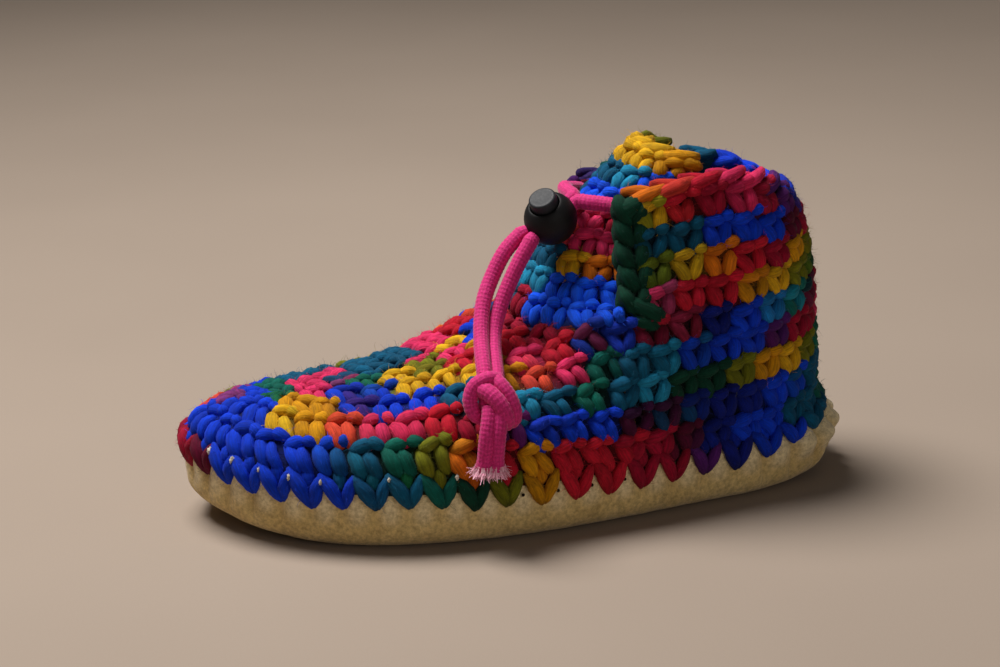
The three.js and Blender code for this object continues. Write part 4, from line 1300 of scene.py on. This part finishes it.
def make_sole():
    """One skin round the sole: ground, outer wall with its puckers, rim, inner wall and inner floor, with a
    rim attribute that paints highlights and shade.
    """
    pull = stitch_pull(SOLE_U)
    share = share_of(SOLE_U)
    pucker = 0.7 + 1.6 * (1 - smoothstep(share, 0.08, 0.34)) + 1.9 * smoothstep(share, 0.64, 0.84)
    draw = pucker * (0.55 * pull + 0.1)
    heel = smoothstep(share, 0.74, 0.94)
    crest = SOLE_RIM - HEEL_DROP * heel
    # 1 on the ridges between stitches, which get a painted highlight
    ridge = np.clip(-pull, 0, 1) ** 1.5
    wall_foot = SOLE_FLOOR + SOLE_ROUND
    rings, tones = [], []

    def add(ring, tone):
        rings.append(ring)
        tones.append(np.broadcast_to(tone, SOLE_COLUMNS))

    for step in FLOOR_STEPS:
        add(drawn_in(sole_ring(SOLE_ROUND, SOLE_FLOOR), step), 0.0)
    for turned in np.linspace(0, math.pi / 2, BEND_RINGS):
        inset = SOLE_ROUND * (1 - math.sin(turned)) + 0.35 * smoothstep(turned, 0.6, 1.57) * draw
        add(sole_ring(inset, SOLE_FLOOR + SOLE_ROUND * (1 - math.cos(turned))), 0.1 * math.sin(turned))
    for up in np.linspace(0.08, 1, WALL_RINGS):
        flare = heel * (2.3 * smoothstep(up, 0.0, 0.6) - 3.0 * smoothstep(up, 0.62, 1.0))
        depth = (0.35 + 0.65 * smoothstep(up, 0.0, 0.6)) * draw
        # Painted light and shade in the rim attribute: paler towards the crest, painted highlights on the
        # ridges between stitches and round the heel, painted shade in the creases where a stitch pulls the
        # leather in
        ridge_and_heel_highlight = 0.5 * ridge * math.sin(math.pi * min(1.0, up / 0.8)) + 0.3 * heel * up
        tone = np.clip(0.05 + 0.6 * up - 0.45 * pull * up + ridge_and_heel_highlight, 0, 1)
        add(sole_ring(depth - flare, mix(wall_foot, crest, up)), tone)
    # The crest carries the strongest painted highlight
    rim_inset = LEATHER * 0.5 + 0.6 * draw + 0.8 * heel
    add(sole_ring(rim_inset, crest + 0.3 - 0.8 * heel * pull), 0.9)
    for up in (1.0, 0.6, 0.3):
        add(sole_ring(LEATHER, mix(wall_foot, SOLE_RIM, up)), 0.5)
    radius = SOLE_ROUND - LEATHER
    for turned in (math.pi / 2, math.pi / 4, 0.0):
        inset = LEATHER + radius * (1 - math.sin(turned))
        add(sole_ring(inset, SOLE_FLOOR + LEATHER + radius * (1 - math.cos(turned))), 0.3)
    inside = rings[-1]
    for step in INSIDE_STEPS:
        add(drawn_in(inside, step), 0.3)
    grid = np.array(rings)
    uneven = slice(len(FLOOR_STEPS), len(FLOOR_STEPS) + RELIEF_RINGS)
    relief = RELIEF_HEIGHT * np.minimum(1, np.arange(RELIEF_RINGS) / RELIEF_GROWTH)[:, None]
    grid[uneven] += SOLE_OUT * (relief * waves(grid[uneven], RELIEF_LENGTH, seed=3))[..., None]
    faces = grid_faces(len(rings), SOLE_COLUMNS, wrap=True)
    made = piece("outsole_suede", grid.reshape(-1, 3), faces, SUEDE, "suede", rim=np.concatenate(tones))
    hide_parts("outsole")


make_sole()

# Punched holes: radius, depth, sides, height below the rim, and the share of a side that shows them
HOLE_RADIUS, HOLE_DEPTH, HOLE_SIDES, HOLE_DROP = 0.55, 0.5, 10, 4.4
HOLES_FROM, HOLES_TO = 0.43, 0.62


def make_holes():
    """Punched holes in the leather, halfway between two edge stitches: shallow cones in near-black painted
    shade.
    """
    order = np.sort(EDGE_PLACES)
    points = []
    angle = around(HOLE_SIDES)[:, None]
    for u in (order + np.append(order[1:], order[0] + 2)) / 2:
        side, q = side_of(u)
        if not HOLES_FROM < q < HOLES_TO:
            continue
        foot, out, rim, _, _ = footing(side, q)
        across = np.array([-out[1], out[0], 0.0])
        centre = foot + out * 0.95
        centre[2] = rim - HOLE_DROP + float(edge_rise(u))
        ring = centre + HOLE_RADIUS * (np.cos(angle) * across + np.sin(angle) * np.array([0, 0, 1.0]))
        points.append(np.vstack([ring, centre - out * HOLE_DEPTH]))
    fan = np.array([[i, (i + 1) % HOLE_SIDES, HOLE_SIDES] for i in range(HOLE_SIDES)])
    piece("punched_holes", np.vstack(points), repeated(fan, len(points), HOLE_SIDES + 1), PAINTED_HOLE_SHADE, "suede")


make_holes()


# Fleece insole
def make_insole():
    steps, across = 120, 49
    q = np.linspace(0.004, 0.996, steps)
    inset = LEATHER + GAP + 2.0
    edges = {}
    for side in ("outer", "inner"):
        feet = [footing(side, float(v)) for v in q]
        line = np.array([f[0] - f[1] * inset for f in feet])
        line[:, 2] = [f[3] + LEATHER + GAP for f in feet]
        edges[side] = line
    w = np.linspace(0, 1, across)[None, :, None]
    top = mix(edges["outer"][:, None, :], edges["inner"][:, None, :], w)
    under = top.copy()
    crown = np.minimum(1, np.minimum(w[..., 0], 1 - w[..., 0]) * 14) ** 0.5
    ends = np.minimum(1, np.minimum(q, 1 - q) * 40)[:, None] ** 0.5
    curls = waves(top, 3.4, 21) * 0.55 + waves(top, 7.5, 22) * 0.35
    top[..., 2] += (FLEECE - 0.9 + curls) * crown * ends
    grid = np.concatenate([top, under[:, ::-1]], axis=1)
    faces = grid_faces(steps, 2 * across, wrap=True)
    made = piece("insole_fleece", grid.reshape(-1, 3), faces, FLEECE_LOOK, "fleece")
    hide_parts("insole")


make_insole()


# Gaps between the edge stitches, counted from the toe, where fleece shows, and rings and sides of a tuft
TUFT_GAPS = (1, 2, 3, 4, 5, 7, 9)
TUFT_RINGS, TUFT_SIDES = 9, 12


def make_tufts():
    """Small lumps of fleece that show between the edge stitches at the toe."""
    order = np.sort(EDGE_PLACES)
    gaps = [(order[k] + order[k + 1]) / 2 for k in TUFT_GAPS]
    points = []
    turned = np.linspace(0.06, math.pi - 0.06, TUFT_RINGS)[:, None]
    angle = around(TUFT_SIDES)[None, :]
    for u in gaps + [2 - gap for gap in gaps]:
        spot = np.array([u]), np.array([3.6 + jitter(0.8)])
        normal = UPPER.normal(*spot, *ALL_ROUND)[0]
        centre = UPPER.point(*spot)[0] - 0.1 * normal
        along = unit(UPPER.tangent(*spot, *ALL_ROUND)[0])
        up = np.cross(normal, along)
        size = RANDOM.uniform(0.55, 0.85)
        lumps = size * (1 + RANDOM.normal(0, 0.22, (TUFT_RINGS, TUFT_SIDES)))
        ball = (
            (np.sin(turned) * np.cos(angle) * lumps * 0.85)[..., None] * along
            + (np.sin(turned) * np.sin(angle) * lumps * 0.8)[..., None] * normal
            + (np.cos(turned) * lumps * 1.25)[..., None] * up
        )
        points.append((centre + ball).reshape(-1, 3))
    single = grid_faces(TUFT_RINGS, TUFT_SIDES, wrap=True)
    faces = repeated(single, len(points), TUFT_RINGS * TUFT_SIDES)
    piece("fleece_tufts", np.vstack(points), faces, FLEECE_LOOK, "fleece")


make_tufts()


# Drawcord: sides of its mesh, length of a ring, strands that wind each way, turn per mm, height of the weave
BRAID_SIDES, BRAID_STEP = 40, 0.35
BRAID_STRANDS, BRAID_TURN, BRAID_RELIEF = 7, 2.5, 0.06


def braid(path, radius, squeeze=None):
    """Round braided cord along a path: points, faces, height of the weave, and the path's points."""
    count = max(8, int(path.length / BRAID_STEP))
    distance = np.linspace(0, path.length, count)
    centres = path.at(distance)
    along = unit(np.gradient(centres, axis=0))
    guide = unit(np.cross(along[0], [0.3, 0.2, 0.93]))
    outs = []
    for tangent in along:
        guide = unit(guide - tangent * np.dot(guide, tangent))
        outs.append(guide)
    outs = np.array(outs)
    across = np.cross(along, outs)
    angle = around(BRAID_SIDES)
    run = distance[:, None]
    turned = BRAID_STRANDS * angle
    weave = np.cos(turned + BRAID_TURN * run) * np.cos(turned - BRAID_TURN * run)
    radii = radius * (1 + BRAID_RELIEF * weave)
    if squeeze is not None:
        radii = radii * squeeze(run)
    ring = np.cos(angle)[None, :, None] * outs[:, None, :] + np.sin(angle)[None, :, None] * across[:, None, :]
    points = centres[:, None, :] + radii[..., None] * ring
    return points.reshape(-1, 3), tube_faces(count, BRAID_SIDES), 0.5 + 0.5 * weave.ravel(), centres


def join(parts):
    """One mesh from several lengths of braid."""
    points, faces, weaves, first = [], [], [], 0
    for part_points, part_faces, weave in parts:
        points.append(part_points)
        faces.append(part_faces + first)
        weaves.append(weave)
        first += len(part_points)
    return np.vstack(points), np.vstack(faces), np.concatenate(weaves)


def cord_piece(name, points, faces, weave):
    return piece(name, points, faces, PINK, "cord", weave=weave)


LOCK_AXIS = unit(LOCK_AXIS_WAY)
LOCK_EXIT = unit(LOCK_EXIT_WAY - LOCK_AXIS * np.dot(LOCK_EXIT_WAY, LOCK_AXIS))
LOCK_SIDE = np.cross(LOCK_AXIS, LOCK_EXIT)
# Half the distance of the two strands inside the lock, and how much the lock squeezes them
STRAND_APART, SQUEEZE = 1.55, 0.36


def in_lock(side, axis, out):
    return LOCK_CENTRE + LOCK_SIDE * side + LOCK_AXIS * axis + LOCK_EXIT * out


def make_strand(side):
    """One strand from a flap to the lock and, squeezed, through it to its tail."""
    tail_start = np.array(TAIL_PATHS[side][0], dtype=float)
    way = STRAND_APART * np.sign(np.dot(tail_start - LOCK_CENTRE, LOCK_SIDE))
    inside = [in_lock(way, 0, out) for out in (-6.5, -3, 0, 3, 6.5)]
    leave = unit(np.array(TAIL_PATHS[side][1]) - tail_start)
    path = smooth_path(list(reversed(BAR_PATHS[side])) + inside + [tail_start + 0.8 * leave], 120)
    middle = path.lengths[np.linalg.norm(path.points - LOCK_CENTRE, axis=1).argmin()]

    def squeeze(run):
        return 1 - SQUEEZE * (1 - smoothstep(np.abs(run - middle), 6.0, 9.5))

    return braid(path, CORD / 2, squeeze)[:3]


bars = cord_piece("drawcord_braid_bars", *join([make_strand("outer"), make_strand("inner")]))
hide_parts("drawcord_bars")


def knot_loops():
    """An overhand knot of the doubled cord."""
    right, up, forward = np.array(cam_x), np.array(cam_y), -np.array(look)
    parts = []
    for fat, loop in KNOT_LOOPS:
        spots = [KNOT_CENTRE + right * a + up * b + forward * c for a, b, c in loop]
        parts.append(braid(smooth_path(spots), fat)[:3])
    return join(parts)


knot = cord_piece("drawcord_braid_knot", *knot_loops())
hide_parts("drawcord_knot")

# Frayed tips: threads, half their width and its share at root, middle and tip, and how far the cord opens
FRAY_THREADS, FRAY_HALF_WIDTH, FRAY_TAPER, FRAY_FLARE = 420, 0.17, (1, 1, 0.6), 0.22


def make_end(side):
    """A short end below the knot, drawn in towards the other one, with its frayed tip."""
    toward = -1.0 if side == "outer" else 1.0
    path_points = [np.array(spot) + (0, toward * 0.9, 0) for spot in END_PATHS[side]]
    path_points.insert(0, KNOT_CENTRE + (3.2, -toward * 1.2, -1.4))
    path = smooth_path(path_points)

    def flare(run):
        return 1 + FRAY_FLARE * smoothstep(run, path.length - 3.5, path.length)

    points, faces, weave, centres = braid(path, CORD / 2, flare)
    made = cord_piece(f"drawcord_braid_end_{side}", points, faces, weave)
    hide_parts(f"drawcord_end_{side}")
    down = unit(centres[-1] - centres[-4])
    count = FRAY_THREADS
    angle = RANDOM.uniform(0, 2 * math.pi, (count, 1))
    spread = np.sqrt(RANDOM.uniform(0, 1, (count, 1))) * CORD * 0.6
    first = unit(np.cross(down, [1, 0, 0]))
    radial = np.cos(angle) * first + np.sin(angle) * np.cross(down, first)
    root = centres[-1] - down * 1.6 + radial * spread
    middle = root + down * RANDOM.uniform(1.0, 2.2, (count, 1)) + radial * (spread * 0.15)
    outward = radial * (spread * RANDOM.uniform(0.2, 0.9, (count, 1)))
    tip = middle + down * RANDOM.uniform(0.4, 2.0, (count, 1)) + outward
    tip = tip + RANDOM.normal(size=(count, 3)) * 0.25
    wide = unit(np.cross(down, radial + RANDOM.normal(size=(count, 3)) * 0.6)) * FRAY_HALF_WIDTH
    ribbon, quads = ribbons((root, middle, tip), wide, FRAY_TAPER)
    brush = piece(f"drawcord_fray_{side}", ribbon, quads, FRAYED, "cord", weave=np.ones(len(ribbon)))
    return made, brush


for side, extras in (("outer", [knot]), ("inner", [])):
    end, brush = make_end(side)
    path = smooth_path(TAIL_PATHS[side], 90)
    points, faces, weave, centres = braid(path, CORD / 2)
    tail = cord_piece(f"drawcord_braid_tail_{side}", points, faces, weave)
    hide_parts(f"drawcord_tail_{side}")


# Cord lock
def lathe(profile, segments=64):
    """A solid turned about the lock's axis from (radius, height) points."""
    angle = around(segments)[:, None]
    ring = np.cos(angle) * LOCK_SIDE + np.sin(angle) * LOCK_EXIT
    grid = np.array([in_lock(0, height, 0) + radius * ring for radius, height in profile])
    return grid.reshape(-1, 3), grid_faces(len(profile), segments, wrap=True)


def arc(centre, radius, start, end, steps):
    """(radius, height) points of a profile's arc."""
    angles = np.linspace(start, end, steps)
    return [(centre[0] + radius * math.cos(a), centre[1] + radius * math.sin(a)) for a in angles]


def make_lock():
    """The ball with its well, and the button that stands in it."""
    top = math.asin(LOCK_TOP / LOCK_RADIUS) - 0.05
    ball = arc((0, 0), LOCK_RADIUS, -math.pi / 2 + 0.02, top, 40)
    lip = [(4.95, LOCK_TOP - 0.02), (4.75, LOCK_TOP), (LOCK_BORE_RADIUS, LOCK_TOP - 0.25)]
    floor = LOCK_BORE_FLOOR + 4
    well = [(LOCK_BORE_RADIUS, LOCK_TOP - 1), (LOCK_BORE_RADIUS, floor), (0.05, floor - 0.1)]
    body = piece("lock_ball", *lathe(ball + lip + well), BALL, "plastic")
    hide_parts("lock_body")
    rim = arc((BUTTON_RADIUS - 0.7, BUTTON_TOP - 0.7), 0.7, 0, math.pi / 2, 8)
    face = [(BUTTON_RADIUS - 1.2, BUTTON_TOP), (2.4, BUTTON_TOP - 0.12), (0.05, BUTTON_TOP - 0.2)]
    stem = [(0.05, BUTTON_FOOT + 8.2), (BUTTON_RADIUS, BUTTON_FOOT + 8.2)]
    disc = piece("lock_disc", *lathe(stem + rim + face), DISC, "plastic", body="button")
    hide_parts("lock_button")


make_lock()

# Floor and light
floor = bpy.data.objects.new("floor", bpy.data.meshes.new("floor"))
floor.data.from_pydata([(-6, -6, 0), (6, -6, 0), (6, 6, 0), (-6, 6, 0)], [], [(0, 1, 2, 3)])
floor.data.materials.append(FLOOR_LOOK)
bpy.context.scene.collection.objects.link(floor)


def area_light(name, spot, target, size, power, colour, spread=math.pi):
    data = bpy.data.lights.new(name, "AREA")
    data.shape = "DISK"
    data.size = size
    data.energy = power
    data.color = colour
    data.spread = spread
    made = bpy.data.objects.new(name, data)
    made.location = spot
    made.rotation_euler = (Vector(target) - Vector(spot)).to_track_quat("-Z", "Y").to_euler()
    bpy.context.scene.collection.objects.link(made)


area_light("key", (-0.35, -0.38, 1.3), (0, 0, 0.04), 0.8, 10.0, (1.0, 0.97, 0.93), 1.75)
area_light("fill", (1.3, 0.3, 0.4), (0, 0, 0.05), 0.9, 2.3, (1.0, 0.95, 0.9))
world = bpy.data.worlds.new("studio")
world.use_nodes = True
world.node_tree.nodes["Background"].inputs["Color"].default_value = (1.0, 0.95, 0.9, 1)
world.node_tree.nodes["Background"].inputs["Strength"].default_value = 0.08
bpy.context.scene.world = world
